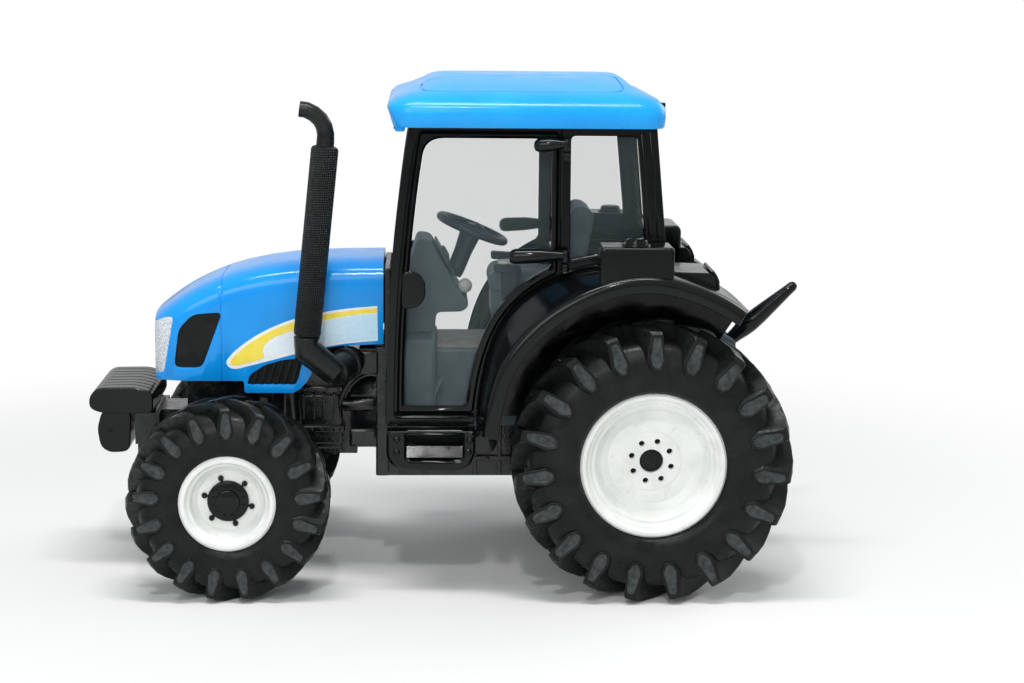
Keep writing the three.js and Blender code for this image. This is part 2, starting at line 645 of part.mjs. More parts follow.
function halfway(first, second) {
  return first.map((place, i) => place.clone().lerp(second[i], 0.5));
}

const lipInner = FENDER_OUTER_Y - FENDER_LIP_WIDTH;
const sheetAtCab = fenderRing(CAB_HALF_WIDTH + 0.3, AT_CAB, 0, -FENDER_SHEET);
const sheetAtLip = fenderRing(FENDER_OUTER_Y, AT_LIP, 0, -FENDER_SHEET);
const sheet = loft([
  fenderRing(FENDER_INNER_Y, AT_CAB, 0, -FENDER_SHEET),
  sheetAtCab,
  halfway(sheetAtCab, sheetAtLip).map((place) => place.add(new THREE.Vector3(0, 0, 0.2))),
  sheetAtLip,
], "y");
const lip = loft([
  fenderRing(lipInner, AT_LIP, -0.2, -FENDER_LIP_DEPTH),
  fenderRing(FENDER_OUTER_Y, AT_LIP, 0, -FENDER_LIP_DEPTH),
], "y");
// The space of the tyre and the fender itself, up to a rise above the fender.
function underFender(rise, yLow, yHigh, curve = AT_CAB) {
  return slab([...fenderLine(curve, rise), point(0, REAR_TYRE_RADIUS)], yLow, yHigh)
    .add(block(0, REAR_TYRE_RADIUS + 6, yLow, yHigh, 0, SILL_BOTTOM));
}
const wallFoot = slab([point(-30, REAR_TYRE_RADIUS + 23), point(-9, REAR_TYRE_RADIUS + 8.5),
  point(6, REAR_TYRE_RADIUS + 8.5), point(20, SILL_BOTTOM + 0.4), point(40, SILL_BOTTOM), point(40, 0),
  point(-30, 0)], 0, 40);
const innerWall = slab([...fenderLine(AT_CAB, -0.5), point(0, REAR_TYRE_RADIUS)],
  FENDER_INNER_Y, FENDER_INNER_Y + 1.2).subtract(wallFoot);
const boxRear = FENDER_BOX_FRONT - FENDER_BOX_LENGTH;
const knobX = boxRear + 5.7;
const knobY = (CAB_HALF_WIDTH + FENDER_OUTER_Y) / 2;
const fenderBox = block(boxRear, FENDER_BOX_FRONT, CAB_HALF_WIDTH + 0.7, FENDER_OUTER_Y - 0.8,
  FENDER_BOX_TOP - 6.4, FENDER_BOX_TOP)
  .add(bar([knobX, knobY, FENDER_BOX_TOP - 1], [knobX, knobY, FENDER_BOX_TOP + 1], 1.8, 1.6));
const shelfFront = rearEdge(SHELF_TOP - 4.3) - GAP;
const shelf = slab([
  point(shelfFront - 7, SHELF_TOP - 4.3),
  point(shelfFront - 6.9, SHELF_TOP - 1.6),
  point(shelfFront - 6.1, SHELF_TOP - 0.2),
  point(shelfFront, SHELF_TOP),
  point(shelfFront, SHELF_TOP - 2.8),
], 10, 21.6);
const fender = sheet.add(lip).add(innerWall)
  .add(fenderBox.subtract(underFender(-0.6, 0, 40, AT_LIP)))
  .add(shelf);
// The right fender's shelf carries a taller housing.
const housing = slab([
  point(shelfFront - 5, SHELF_TOP - 4.3),
  point(shelfFront - 5, RIGHT_HOUSING_TOP - 1),
  point(shelfFront - 4.2, RIGHT_HOUSING_TOP),
  point(shelfFront, RIGHT_HOUSING_TOP),
  point(shelfFront, SHELF_TOP - 4.3),
], 10, 21.6);
addPair("fender", fender, BLACK_PLASTIC, fender.add(housing));

// ---- Cab frame ----

function frontEdge(z) {
  const share = Math.max(0, (z - SILL_BOTTOM) / (EAVES - SILL_BOTTOM));
  return CAB_FRONT - CAB_FRONT_LEAN * share ** 2.2;
}

function rearEdge(z) {
  return CAB_REAR - CAB_REAR_SLOPE * (EAVES - z);
}

function frontEdgeLine(inset, zLow, zHigh, steps = 6) {
  const line = [];
  for (let i = 0; i <= steps; i += 1) {
    const z = zLow + ((zHigh - zLow) * i) / steps;
    line.push(point(frontEdge(z) - inset, z));
  }
  return line;
}

// A door's outline, or the same outline inset for its glass.
function doorOutline(inset) {
  const front = frontEdgeLine(FRONT_PILLAR + SWING_GAP + inset, DOOR_BOTTOM + inset, DOOR_TOP - inset);
  const rear = DOOR_REAR + inset;
  const curve = fenderLine(AT_CAB, SWING_GAP + inset * 1.25, 0, 0.6, 24)
    .filter((place) => place.x > rear + 0.3 && place.y > DOOR_BOTTOM + inset + 0.3)
    .reverse();
  const radius = Math.hypot(curve[0].x, curve[0].y - REAR_TYRE_RADIUS);
  const rearFoot = REAR_TYRE_RADIUS + Math.sqrt(radius ** 2 - rear ** 2);
  const heel = curve.at(-1).x + 0.3;
  return [...front, point(rear, DOOR_TOP - inset), point(rear, rearFoot), ...curve,
    point(heel, DOOR_BOTTOM + inset)];
}

const sideInner = CAB_HALF_WIDTH - CAB_WALL;
const cabSideOutline = [
  ...frontEdgeLine(0, SILL_BOTTOM, EAVES),
  point(frontEdge(EAVES), CAB_FRAME_TOP),
  point(rearEdge(EAVES), CAB_FRAME_TOP),
  point(rearEdge(EAVES), EAVES),
  point(rearEdge(SHELF_TOP - 0.8), SHELF_TOP - 0.8),
  point(0, REAR_TYRE_RADIUS),
  point(26, REAR_TYRE_RADIUS),
  point(26, SILL_BOTTOM),
];
const doorway = [
  ...frontEdgeLine(FRONT_PILLAR, DOOR_BOTTOM - SWING_GAP, DOOR_TOP + SWING_GAP),
  point(DOOR_REAR - SWING_GAP, DOOR_TOP + SWING_GAP),
  point(DOOR_REAR - SWING_GAP, 45),
  point(20, 30),
  point(27, DOOR_BOTTOM - SWING_GAP),
];
const quarterFront = DOOR_REAR - SWING_GAP - MIDDLE_PILLAR;
function quarterOutline(inset) {
  const foot = fenderLine(AT_CAB, SIDE_SILL_RISE + inset, 0.35, 0.85, 16)
    .filter((place) => place.x < quarterFront - inset - 0.3)
    .filter((place) => place.x > rearEdge(57) + REAR_PILLAR + inset + 0.3);
  const rearTop = rearEdge(DOOR_TOP) + REAR_PILLAR + inset;
  const rearFoot = rearEdge(foot.at(-1).y) + REAR_PILLAR + inset;
  return [point(quarterFront - inset, DOOR_TOP - 0.6 - inset), point(quarterFront - inset, foot[0].y - 0.2),
    ...foot, point(rearFoot, foot.at(-1).y), point(rearTop, DOOR_TOP - 0.6 - inset)];
}
let cabSide = slab(cabSideOutline, sideInner, CAB_HALF_WIDTH)
  .subtract(slab(doorway, 0, 40))
  .subtract(slab(quarterOutline(0), 0, 40))
  .subtract(underFender(GAP, 0, 40));
const HINGE_SPLIT = 0.8; // the two barrels meet this far below an arm
for (const z of HINGE_HEIGHTS) {
  const low = z - HINGE_SPLIT - 1.2;
  const high = z - HINGE_SPLIT;
  const leaf = block(HINGE_X - HINGE_RADIUS, HINGE_X + HINGE_RADIUS, CAB_HALF_WIDTH - 0.4, HINGE_Y, low,
    high);
  cabSide = cabSide.add(leaf).add(bar([HINGE_X, HINGE_Y, low], [HINGE_X, HINGE_Y, high], HINGE_RADIUS));
}
addPair("cab_side", cabSide, BLACK_PLASTIC);
addPair("quarter_glass", slab(quarterOutline(GLASS_GAP), CAB_HALF_WIDTH - 1, CAB_HALF_WIDTH - 1 + GLASS),
  CLEAR_STYRENE);

// The front and rear frames stand between the sides, and each holds a window in a border.
const frameHalf = sideInner - GAP;
const WINDOW_BORDER = 1.5;
const windowHalf = frameHalf - WINDOW_BORDER;
const windowTop = EAVES - 1.2;
function leaning(edge, wall, zLow, zHigh, yLow, yHigh) {
  const steps = 6;
  const outer = [];
  const inner = [];
  for (let i = 0; i <= steps; i += 1) {
    const z = zLow + ((zHigh - zLow) * i) / steps;
    outer.push(point(edge(z), z));
    inner.push(point(edge(z) + wall, z));
  }
  return slab([...outer, ...inner.reverse()], yLow, yHigh);
}
const paneHalf = windowHalf - GLASS_GAP;
const frontFrame = leaning(frontEdge, -CAB_WALL, SILL_BOTTOM, CAB_FRAME_TOP, -frameHalf, frameHalf)
  .subtract(leaning((z) => frontEdge(z) + 2, -6, WINDSCREEN_FOOT, windowTop, -windowHalf, windowHalf));
addPart("front_frame", frontFrame, BLACK_PLASTIC);
const windscreen = leaning((z) => frontEdge(z) - 0.3, -GLASS, WINDSCREEN_FOOT + GLASS_GAP,
  windowTop - GLASS_GAP, -paneHalf, paneHalf);
addPart("windscreen", windscreen, CLEAR_STYRENE);

const rearBoard = FENDER_INNER_Y - GAP - 0.2;
const rearFrame = leaning(rearEdge, CAB_WALL, REAR_WINDOW_FOOT - 2.2, CAB_FRAME_TOP, -frameHalf, frameHalf)
  .add(leaning(rearEdge, CAB_WALL, REAR_BOARD_FOOT, REAR_WINDOW_FOOT - 2, -rearBoard, rearBoard))
  .subtract(leaning((z) => rearEdge(z) - 2, 6, REAR_WINDOW_FOOT, windowTop, -windowHalf, windowHalf));
addPart("rear_frame", rearFrame, BLACK_PLASTIC);
const rearWindow = leaning((z) => rearEdge(z) + 0.3, GLASS, REAR_WINDOW_FOOT + GLASS_GAP,
  windowTop - GLASS_GAP, -paneHalf, paneHalf);
addPart("rear_window", rearWindow, CLEAR_STYRENE);

// ---- Doors ----

const doorOpening = slab(doorOutline(DOOR_BAR), 0, 40);
let door = slab(doorOutline(0), sideInner, CAB_HALF_WIDTH).subtract(doorOpening);
HINGE_HEIGHTS.forEach((z, place) => {
  const armEnd = [HINGE_X + HINGE_REACH[place], HINGE_Y - 0.6, z + 0.4];
  const barrelFoot = z - HINGE_SPLIT + GAP;
  const lug = block(DOOR_REAR + 0.1, DOOR_REAR + DOOR_BAR - 0.1, CAB_HALF_WIDTH - 0.5, HINGE_Y - 0.3, z - 0.3,
    z + 1.2);
  door = door
    .add(bar([HINGE_X, HINGE_Y, barrelFoot], [HINGE_X, HINGE_Y, z + 1.4], HINGE_RADIUS))
    .add(bar([HINGE_X, HINGE_Y, z + 0.6], armEnd, 0.6, 0.9, 10))
    .add(lug);
});
const latchFront = frontEdge(50) - 2;
const latchInner = CAB_HALF_WIDTH - 1;
const latch = slab([
  point(latchFront, 46.6),
  point(latchFront - 2.4, 47),
  point(latchFront - 3.6, 48.6),
  point(latchFront - 3.4, 51),
  point(latchFront, 52.4),
], latchInner, CAB_HALF_WIDTH + 0.9);
addPair("door_frame", door.add(latch), BLACK_PLASTIC);
const latchRecess = block(latchFront - 4, latchFront + 0.5, latchInner - GLASS_GAP, CAB_HALF_WIDTH, 46, 53);
const doorGlass = slab(doorOutline(DOOR_BAR + GLASS_GAP), sideInner + 0.1, sideInner + 0.1 + GLASS);
addPair("door_glass", doorGlass.subtract(latchRecess), CLEAR_STYRENE);

// ---- Roof ----

function roofRing(z, frontInset, rearInset, sideInset, corner) {
  const xHigh = ROOF_FRONT - frontInset;
  const xLow = ROOF_REAR + rearInset;
  const half = ROOF_HALF_WIDTH - sideInset;
  const ring = [];
  const corners = [[xHigh, half, 0], [xLow, half, 1], [xLow, -half, 2], [xHigh, -half, 3]];
  for (const [cornerX, cornerY, quarter] of corners) {
    const middleX = cornerX - Math.sign(cornerX - (xHigh + xLow) / 2) * corner;
    const middleY = cornerY - Math.sign(cornerY) * corner;
    for (let i = 0; i <= 4; i += 1) {
      const angle = ((quarter + i / 4) * Math.PI) / 2;
      ring.push(new THREE.Vector3(middleX + corner * Math.cos(angle), middleY + corner * Math.sin(angle), z));
    }
  }
  return ring;
}

const roofOuter = loft([
  roofRing(ROOF_BOTTOM, 1.1, 0.3, 0.6, 3),
  roofRing(ROOF_BOTTOM + 1.8, 0.5, 0, 0, 3.4),
  roofRing(ROOF_BOTTOM + 3.2, 0, 0.1, 0.1, 4),
  roofRing(ROOF_BOTTOM + 4.5, 1.2, 1.2, 1.2, 4),
  roofRing(ROOF_BOTTOM + 5.4, 3.8, 3.6, 3.6, 4),
  roofRing(ROOF_BOTTOM + 6.4, 5.8, 5, 8, 4),
  roofRing(ROOF_BOTTOM + 7.3, 7, 6, 14, 4),
  roofRing(ROOF_BOTTOM + ROOF_HEIGHT, 8, 7, 18.4, 3.6),
], "z");
const roofRecess = block(rearEdge(EAVES) - GAP, frontEdge(EAVES) + GAP, -CAB_HALF_WIDTH - GAP,
  CAB_HALF_WIDTH + GAP, 60, CAB_FRAME_TOP + GAP);
const visor = block(frontEdge(EAVES) + 2 * GAP, ROOF_FRONT - 1.2, -CAB_HALF_WIDTH, CAB_HALF_WIDTH,
  ROOF_BOTTOM - 0.8, ROOF_BOTTOM + 1);
addPart("roof", roofOuter.subtract(roofRecess).add(visor), BLUE_ENAMEL);

// ---- Cab interior ----

const TUNNEL_TOP = 38.2;
const TUNNEL_FRONT = 35;
const SEAT_STEP = 13; // front of the raised floor below the seat
const floorTop = SILL_BOTTOM + 0.6;
const floorBottom = SILL_BOTTOM - 1.6;
const tubFront = CAB_FRONT - CAB_WALL - GAP;
const tubRear = rearEdge(TUNNEL_TOP) + CAB_WALL + 1.6;
const tubHalf = FENDER_INNER_Y - 0.8;
const bulkheadTop = TUNNEL_TOP + 1.8;
const seatStepTop = TUNNEL_TOP + 3;
const tub = block(SEAT_STEP - 1, tubFront, -tubHalf, tubHalf, floorBottom, floorTop)
  .add(block(29.2, tubFront, -sideInner + GAP, sideInner - GAP, floorBottom, floorTop))
  .add(block(SEAT_STEP - 1, TUNNEL_FRONT, -8.6, 8.6, floorTop - 0.5, TUNNEL_TOP))
  .add(block(TUNNEL_FRONT - 0.5, tubFront, -11.5, 11.5, floorTop - 0.5, bulkheadTop))
  .add(block(tubRear + 0.4, SEAT_STEP, -tubHalf, tubHalf, 34, seatStepTop))
  .add(block(tubRear, tubRear + 3.4, -tubHalf, tubHalf, seatStepTop - 1, REAR_BOARD_FOOT + 3));
addPart("cab_tub", tub, GREY_PLASTIC);
const dashFoot = bulkheadTop + GAP;
const dashHead = frontEdge(56) - CAB_WALL - 1.2;
const dashboard = slab([
  point(tubFront, dashFoot),
  point(tubFront - 7.5, dashFoot),
  point(tubFront - 11.3, 43.4),
  point(tubFront - 12.1, 45),
  point(tubFront - 9.3, 49),
  point(tubFront - 5.5, 55.6),
  point(tubFront - 3.3, 55.9),
  point(dashHead, 52),
], -6, 6);
addPart("dashboard", dashboard, GREY_PLASTIC);

const WHEEL_TILT = 0.38;
const STEERING_WHEEL_RADIUS = 6.4;
const wheelCentre = new THREE.Vector3(tubFront - 12.5, 0, 57);
const wheelRim = new THREE.TorusGeometry(STEERING_WHEEL_RADIUS - 0.7, 0.7, 8, 28);
wheelRim.rotateY(-WHEEL_TILT);
wheelRim.translate(wheelCentre.x, wheelCentre.y, wheelCentre.z);
const columnFoot = new THREE.Vector3(Math.sin(WHEEL_TILT), 0, -Math.cos(WHEEL_TILT)).multiplyScalar(8.4)
  .add(wheelCentre);
const wheelHub = new THREE.Vector3(-Math.sin(WHEEL_TILT), 0, Math.cos(WHEEL_TILT)).multiplyScalar(0.6)
  .add(wheelCentre);
let steeringWheel = toSolid(wheelRim)
  .add(bar(columnFoot.toArray(), wheelCentre.toArray(), 1.2, 1.5, 12))
  .add(bar(wheelCentre.toArray(), wheelHub.toArray(), 2.2, 1.8, 12));
for (const turn of [0, 2, 4]) {
  const angle = (turn * Math.PI) / 3 + 0.17;
  const spokeEnd = new THREE.Vector3(Math.cos(angle), Math.sin(angle), 0)
    .multiplyScalar(STEERING_WHEEL_RADIUS - 0.7)
    .applyAxisAngle(new THREE.Vector3(0, 1, 0), -WHEEL_TILT)
    .add(wheelCentre);
  steeringWheel = steeringWheel.add(bar(wheelCentre.toArray(), spokeEnd.toArray(), 0.6, 0.5, 8));
}
const dashClearance = slab([
  point(tubFront, 40),
  point(tubFront - 11.5, 43),
  point(tubFront - 12.4, 45.2),
  point(tubFront - 9.6, 49.3),
  point(tubFront - 5.8, 56),
  point(tubFront, 56),
], -7, 7);
addPart("steering_wheel", steeringWheel.subtract(dashClearance), DARK_GREY_PLASTIC);

const seat = slab([
  point(SEAT_STEP + 1, seatStepTop + GAP + 1),
  point(SEAT_STEP + 2, seatStepTop + 0.2),
  point(SEAT_STEP + 11, TUNNEL_TOP + GAP),
  point(SEAT_STEP + 13, 44),
  point(SEAT_STEP + 12.6, 50.2),
  point(SEAT_STEP + 11.4, 50.8),
  point(SEAT_STEP + 1, 49.8),
  point(SEAT_STEP - 1, 61.2),
  point(SEAT_STEP - 3.4, 61.6),
  point(SEAT_STEP - 5, 60),
  point(SEAT_STEP - 2.6, 46.2),
], -6.5, 6.5)
  .subtract(block(0, TUNNEL_FRONT + GAP, -20, 20, 0, TUNNEL_TOP + GAP))
  .subtract(block(0, SEAT_STEP + GAP, -20, 20, 0, seatStepTop + GAP));
addPart("seat", seat, GREY_PLASTIC);

// ---- Steps ----

const stepTop = SILL_BOTTOM - GAP;
const stepInnerY = CAB_HALF_WIDTH - 0.7;
let step = slab([
  point(STEP_FRONT, stepTop),
  point(STEP_FRONT, STEP_BOTTOM + 2.2),
  point(STEP_FRONT - 1.5, STEP_BOTTOM),
  point(STEP_REAR + 2.2, STEP_BOTTOM),
  point(STEP_REAR, STEP_BOTTOM + 2.6),
  point(STEP_REAR, stepTop),
], stepInnerY, STEP_OUTER_Y);
for (const slotFoot of [STEP_BOTTOM + 1.8, STEP_BOTTOM + 4.3]) {
  step = step.subtract(block(STEP_REAR + 2.2, STEP_FRONT - 3.1, stepInnerY + 1.2, STEP_OUTER_Y + 1, slotFoot,
    slotFoot + 1.6));
}
const armTopZ = floorBottom - GAP;
step = step.add(block(30, 40, GEARBOX_HALF_WIDTH + GAP, stepInnerY + 1, armTopZ - 2.4, armTopZ));
addPair("step", step, BLACK_PLASTIC);

// ---- Rear linkage ----

const bracketRear = BRACKET_FRONT - 4.8;
const bracketEar = [
  point(bracketRear + 0.1, BRACKET_FOOT + 0.8),
  point(TOP_LINK_X - 1.5, TOP_LINK_Z - 1.8),
  point(TOP_LINK_X - 1.8, TOP_LINK_Z + 1.4),
  point(bracketRear + 0.1, TOP_LINK_Z + 3.2),
];
const linkBracket = slab([
  point(bracketRear, BRACKET_FOOT + GAP),
  point(BRACKET_FRONT, BRACKET_FOOT + GAP),
  point(BRACKET_FRONT, BRACKET_TOP),
  point(BRACKET_FRONT - 3.3, BRACKET_TOP),
  point(bracketRear - 0.1, BRACKET_TOP - 2.8),
], -BRACKET_HALF_WIDTH, BRACKET_HALF_WIDTH)
  .add(slab(bracketEar, -BRACKET_HALF_WIDTH, -BRACKET_HALF_WIDTH + 1.5))
  .add(slab(bracketEar, BRACKET_HALF_WIDTH - 1.5, BRACKET_HALF_WIDTH));
addPart("link_bracket", linkBracket, GREY_PLASTIC);

const linkTip = [TOP_LINK_X - TOP_LINK_RUN, 0, TOP_LINK_Z + TOP_LINK_RISE];
const linkBulge = [TOP_LINK_X - TOP_LINK_RUN * 0.36, 0, TOP_LINK_Z + TOP_LINK_RISE * 0.3];
const topLink = bar([TOP_LINK_X, -1.6, TOP_LINK_Z], [TOP_LINK_X, 1.6, TOP_LINK_Z], 0.9)
  .add(bar([TOP_LINK_X, 0, TOP_LINK_Z], linkBulge, 1.1, 1.6, 12))
  .add(bar(linkBulge, linkTip, 1.6, 0.7, 12));
addPart("top_link", topLink, BLACK_PLASTIC);

// A round boss across a lower link.
function linkBoss(x, z, halfWidth, radius) {
  return bar([x, LOWER_LINK_Y - halfWidth, z], [x, LOWER_LINK_Y + halfWidth, z], radius);
}

const LINK_BALL_RADIUS = 1.2;
const lowerLinkBar = slab([
  point(LOWER_LINK_X, LOWER_LINK_Z + 1.1),
  point(LOWER_LINK_END, LOWER_LINK_END_Z + 0.8),
  point(LOWER_LINK_END, LOWER_LINK_END_Z - 0.8),
  point(LOWER_LINK_X, LOWER_LINK_Z - 1.1),
], LOWER_LINK_Y - 0.8, LOWER_LINK_Y + 0.8);
const lowerLink = lowerLinkBar
  .add(linkBoss(LOWER_LINK_X, LOWER_LINK_Z, 1, 2))
  .add(linkBoss(LOWER_LINK_END, LOWER_LINK_END_Z, 1.2, LINK_BALL_RADIUS))
  .subtract(linkBoss(LOWER_LINK_X, LOWER_LINK_Z, 2, LINK_PIN_RADIUS + GAP));
addPair("lower_link", lowerLink, BLACK_PLASTIC);

// ---- Origin on the ground below the middle of the length ----

const rearEnd = LOWER_LINK_END - LINK_BALL_RADIUS;
tractor.position.x = -(weightsFront + rearEnd) / 2;

export default tractor;
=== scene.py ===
import bpy
import json
from math import cos, hypot, pi, radians, sin, sqrt, tau
from mathutils import Matrix, Vector

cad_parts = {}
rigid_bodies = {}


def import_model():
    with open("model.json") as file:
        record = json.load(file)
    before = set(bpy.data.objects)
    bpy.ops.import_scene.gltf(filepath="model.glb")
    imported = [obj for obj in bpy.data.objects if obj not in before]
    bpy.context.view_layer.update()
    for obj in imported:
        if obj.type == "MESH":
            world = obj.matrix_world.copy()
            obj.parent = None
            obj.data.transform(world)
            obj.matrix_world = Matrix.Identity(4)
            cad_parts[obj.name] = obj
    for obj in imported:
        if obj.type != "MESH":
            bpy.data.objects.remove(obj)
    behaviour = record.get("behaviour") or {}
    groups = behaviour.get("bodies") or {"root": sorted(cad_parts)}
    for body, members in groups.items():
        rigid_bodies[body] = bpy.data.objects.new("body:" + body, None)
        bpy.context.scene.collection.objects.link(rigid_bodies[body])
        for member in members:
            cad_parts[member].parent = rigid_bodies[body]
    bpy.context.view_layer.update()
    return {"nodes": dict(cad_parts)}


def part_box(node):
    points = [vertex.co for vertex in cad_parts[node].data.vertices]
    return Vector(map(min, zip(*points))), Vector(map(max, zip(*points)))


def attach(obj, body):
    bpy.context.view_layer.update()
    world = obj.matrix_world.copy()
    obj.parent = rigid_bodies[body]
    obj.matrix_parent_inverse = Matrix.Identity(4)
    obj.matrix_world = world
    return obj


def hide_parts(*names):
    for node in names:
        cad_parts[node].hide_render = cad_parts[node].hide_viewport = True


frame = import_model()
MM = 0.001

# ---- Rear wheel rims ----
# Each rim is one white moulding in hard ABS: a stepped flange round a deep dish, with a flat hub plateau.
# It is pressed on its axle. The dark bore and the eight dark bolt holes round it are painted shade: a near-black plug
# sits in the bore and a near-black ring sits behind the holes.

tyre_low, tyre_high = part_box("rear_tyre_left")
REAR_AXLE = (tyre_low + tyre_high) / 2
REAR_TYRE_RADIUS = (tyre_high.z - tyre_low.z) / 2 / MM
REAR_TYRE_HALF = (tyre_high.y - tyre_low.y) / 2 / MM


def at(x, y, z):
    """A place in millimetres, ahead of the rear axle, left of the middle and above the ground."""
    return Vector((REAR_AXLE.x + x * MM, y * MM, z * MM))


def only(piece):
    bpy.ops.object.select_all(action="DESELECT")
    piece.select_set(True)
    bpy.context.view_layer.objects.active = piece


def start(name):
    """A new piece in edit mode that holds nothing yet."""
    bpy.ops.object.select_all(action="DESELECT")
    bpy.ops.mesh.primitive_plane_add(size=MM)
    piece = bpy.context.object
    piece.name = name
    piece.data.name = name
    bpy.ops.object.mode_set(mode="EDIT")
    bpy.ops.mesh.delete(type="VERT")
    return piece


def draw(points, closed=True):
    """Draws an edge from point to point by extruding a vertex, in edit mode, and leaves it selected."""
    bpy.ops.mesh.select_all(action="DESELECT")
    bpy.ops.mesh.primitive_plane_add(size=MM, location=points[0])
    bpy.ops.mesh.merge(type="CENTER")
    route = list(points) + ([points[0]] if closed else [])
    for here, there in zip(route, route[1:]):
        bpy.ops.mesh.extrude_region_move(TRANSFORM_OT_translate={"value": there - here})
    bpy.ops.mesh.select_linked()
    if closed:
        bpy.ops.mesh.remove_doubles(threshold=0.001 * MM)


def pick(piece, test):
    """In edit mode, selects the corners that pass a test on their place."""
    bpy.ops.object.mode_set(mode="OBJECT")
    for part in (piece.data.polygons, piece.data.edges, piece.data.vertices):
        part.foreach_set("select", [False] * len(part))
    for corner in piece.data.vertices:
        corner.select = test(corner.co)
    bpy.ops.object.mode_set(mode="EDIT")
    bpy.ops.mesh.select_mode(type="VERT")


def done(piece, smooth=35):
    """Leaves edit mode with the faces pointing out and the flat and round parts shaded as such."""
    bpy.ops.mesh.select_all(action="SELECT")
    bpy.ops.mesh.remove_doubles(threshold=0.002 * MM)
    bpy.ops.mesh.normals_make_consistent(inside=False)
    bpy.ops.object.mode_set(mode="OBJECT")
    soften(piece, smooth)
    return piece


def soften(piece, smooth=35):
    only(piece)
    bpy.ops.object.shade_smooth_by_angle(angle=radians(smooth))


def modify(piece, kind, **settings):
    """Adds a modifier and applies it."""
    only(piece)
    modifier = piece.modifiers.new(kind.title(), kind)
    for key, value in settings.items():
        setattr(modifier, key, value)
    bpy.ops.object.modifier_apply(modifier=modifier.name)
    return piece


def round_edges(piece, width, segments=2, angle=30, clamp=True):
    """Rounds the sharp edges by a width in millimetres."""
    modify(piece, "BEVEL", width=width * MM, segments=segments, limit_method="ANGLE", angle_limit=radians(angle),
           use_clamp_overlap=clamp, harden_normals=False)
    soften(piece, 40)
    return piece


def spun(name, outline, centre, steps=64, closed=True):
    """A body turned on the Y axis through a centre. The outline holds radius and distance along Y."""
    piece = start(name)
    draw([centre + Vector((radius * MM, along * MM, 0)) for radius, along in outline], closed)
    bpy.ops.mesh.spin(steps=steps, angle=tau, center=centre, axis=(0, 1, 0))
    return done(piece)


def cut(piece, tool):
    """Takes the tool's shape out of the piece."""
    modify(piece, "BOOLEAN", operation="DIFFERENCE", object=tool, solver="EXACT")
    bpy.data.objects.remove(tool)
    return piece


def join(name, pieces):
    only(pieces[0])
    for piece in pieces:
        piece.select_set(True)
    if len(pieces) > 1:
        bpy.ops.object.join()
    joined = bpy.context.object
    joined.name = name
    joined.data.name = name
    return joined


def mirror(piece, name):
    """A copy on the other side of the tractor, with its own mesh."""
    only(piece)
    bpy.ops.object.duplicate()
    twin = bpy.context.object
    twin.name = name
    twin.data.name = name
    twin.data.transform(Matrix.Scale(-1, 4, (0, 1, 0)))
    twin.data.flip_normals()
    return twin


def rod(name, start_point, end_point, radius, end_radius=None, sides=20, round_by=0.0):
    """A round bar between two points in the frame, with radii in millimetres."""
    end_radius = radius if end_radius is None else end_radius
    run = end_point - start_point
    bpy.ops.object.select_all(action="DESELECT")
    bpy.ops.mesh.primitive_cone_add(vertices=sides, radius1=radius * MM, radius2=end_radius * MM, depth=run.length,
                                    location=(start_point + end_point) / 2,
                                    rotation=run.to_track_quat("Z", "Y").to_euler())
    bpy.ops.object.transform_apply(location=True, rotation=True, scale=True)
    piece = bpy.context.object
    piece.name = name
    piece.data.name = name
    if round_by:
        round_edges(piece, round_by)
    else:
        soften(piece)
    return piece


def linear(hex_colour):
    """An sRGB colour such as 0x12AB34 as the linear colour that shaders take."""
    channels = [((hex_colour >> shift) & 255) / 255 for shift in (16, 8, 0)]
    return [c / 12.92 if c <= 0.04045 else ((c + 0.055) / 1.055) ** 2.4 for c in channels] + [1.0]


def add_node(tree, kind, settings=None, inputs=None, links=None):
    """A node with its settings, its input values, and links from other nodes' outputs to its inputs."""
    node = tree.nodes.new(kind)
    for key, value in (settings or {}).items():
        setattr(node, key, value)
    for key, value in (inputs or {}).items():
        node.inputs[key].default_value = value
    for key, output in (links or {}).items():
        tree.links.new(output, node.inputs[key])
    return node


def finish_of(name, colour, **shader_inputs):
    """A material's tree, its surface shader and its Object coordinates."""
    material = bpy.data.materials.new(name)
    material.use_nodes = True
    tree = material.node_tree
    shader = tree.nodes["Principled BSDF"]
    shader.inputs["Base Color"].default_value = linear(colour)
    for key, value in shader_inputs.items():
        shader.inputs[key.replace("_", " ")].default_value = value
    place = add_node(tree, "ShaderNodeTexCoord").outputs["Object"]
    return material, tree, shader, place


def grain(tree, shader, place, size, depth, detail=3.0):
    """A fine bump whose grains are size millimetres wide and depth millimetres deep."""
    noise = add_node(tree, "ShaderNodeTexNoise", inputs={"Scale": 1 / (size * MM), "Detail": detail},
                     links={"Vector": place})
    bump = add_node(tree, "ShaderNodeBump", inputs={"Strength": 1.0, "Distance": depth * MM},
                    links={"Height": noise.outputs["Fac"]})
    tree.links.new(bump.outputs["Normal"], shader.inputs["Normal"])
    return bump


def vary(tree, place, size, low, high, between=(0.35, 0.65), detail=4.0):
    """A value that drifts from low to high in patches size millimetres wide."""
    noise = add_node(tree, "ShaderNodeTexNoise", inputs={"Scale": 1 / (size * MM), "Detail": detail},
                     links={"Vector": place})
    span = add_node(tree, "ShaderNodeMapRange",
                    inputs={"From Min": between[0], "From Max": between[1], "To Min": low, "To Max": high},
                    links={"Value": noise.outputs["Fac"]})
    return span.outputs["Result"]


def blend_colours(tree, factor, first, second):
    """A colour between two sRGB colours."""
    mix = add_node(tree, "ShaderNodeMix", {"data_type": "RGBA"}, links={"Factor": factor})
    for socket, colour in ((6, first), (7, second)):
        if isinstance(colour, int):
            mix.inputs[socket].default_value = linear(colour)
        else:
            tree.links.new(colour, mix.inputs[socket])
    return mix.outputs[2]


def mottle(tree, shader, place, size, first, second, between=(0.35, 0.65)):
    """Lets the surface drift between two sRGB colours in patches size millimetres wide."""
    drift = vary(tree, place, size, 0.0, 1.0, between)
    tree.links.new(blend_colours(tree, drift, first, second), shader.inputs["Base Color"])


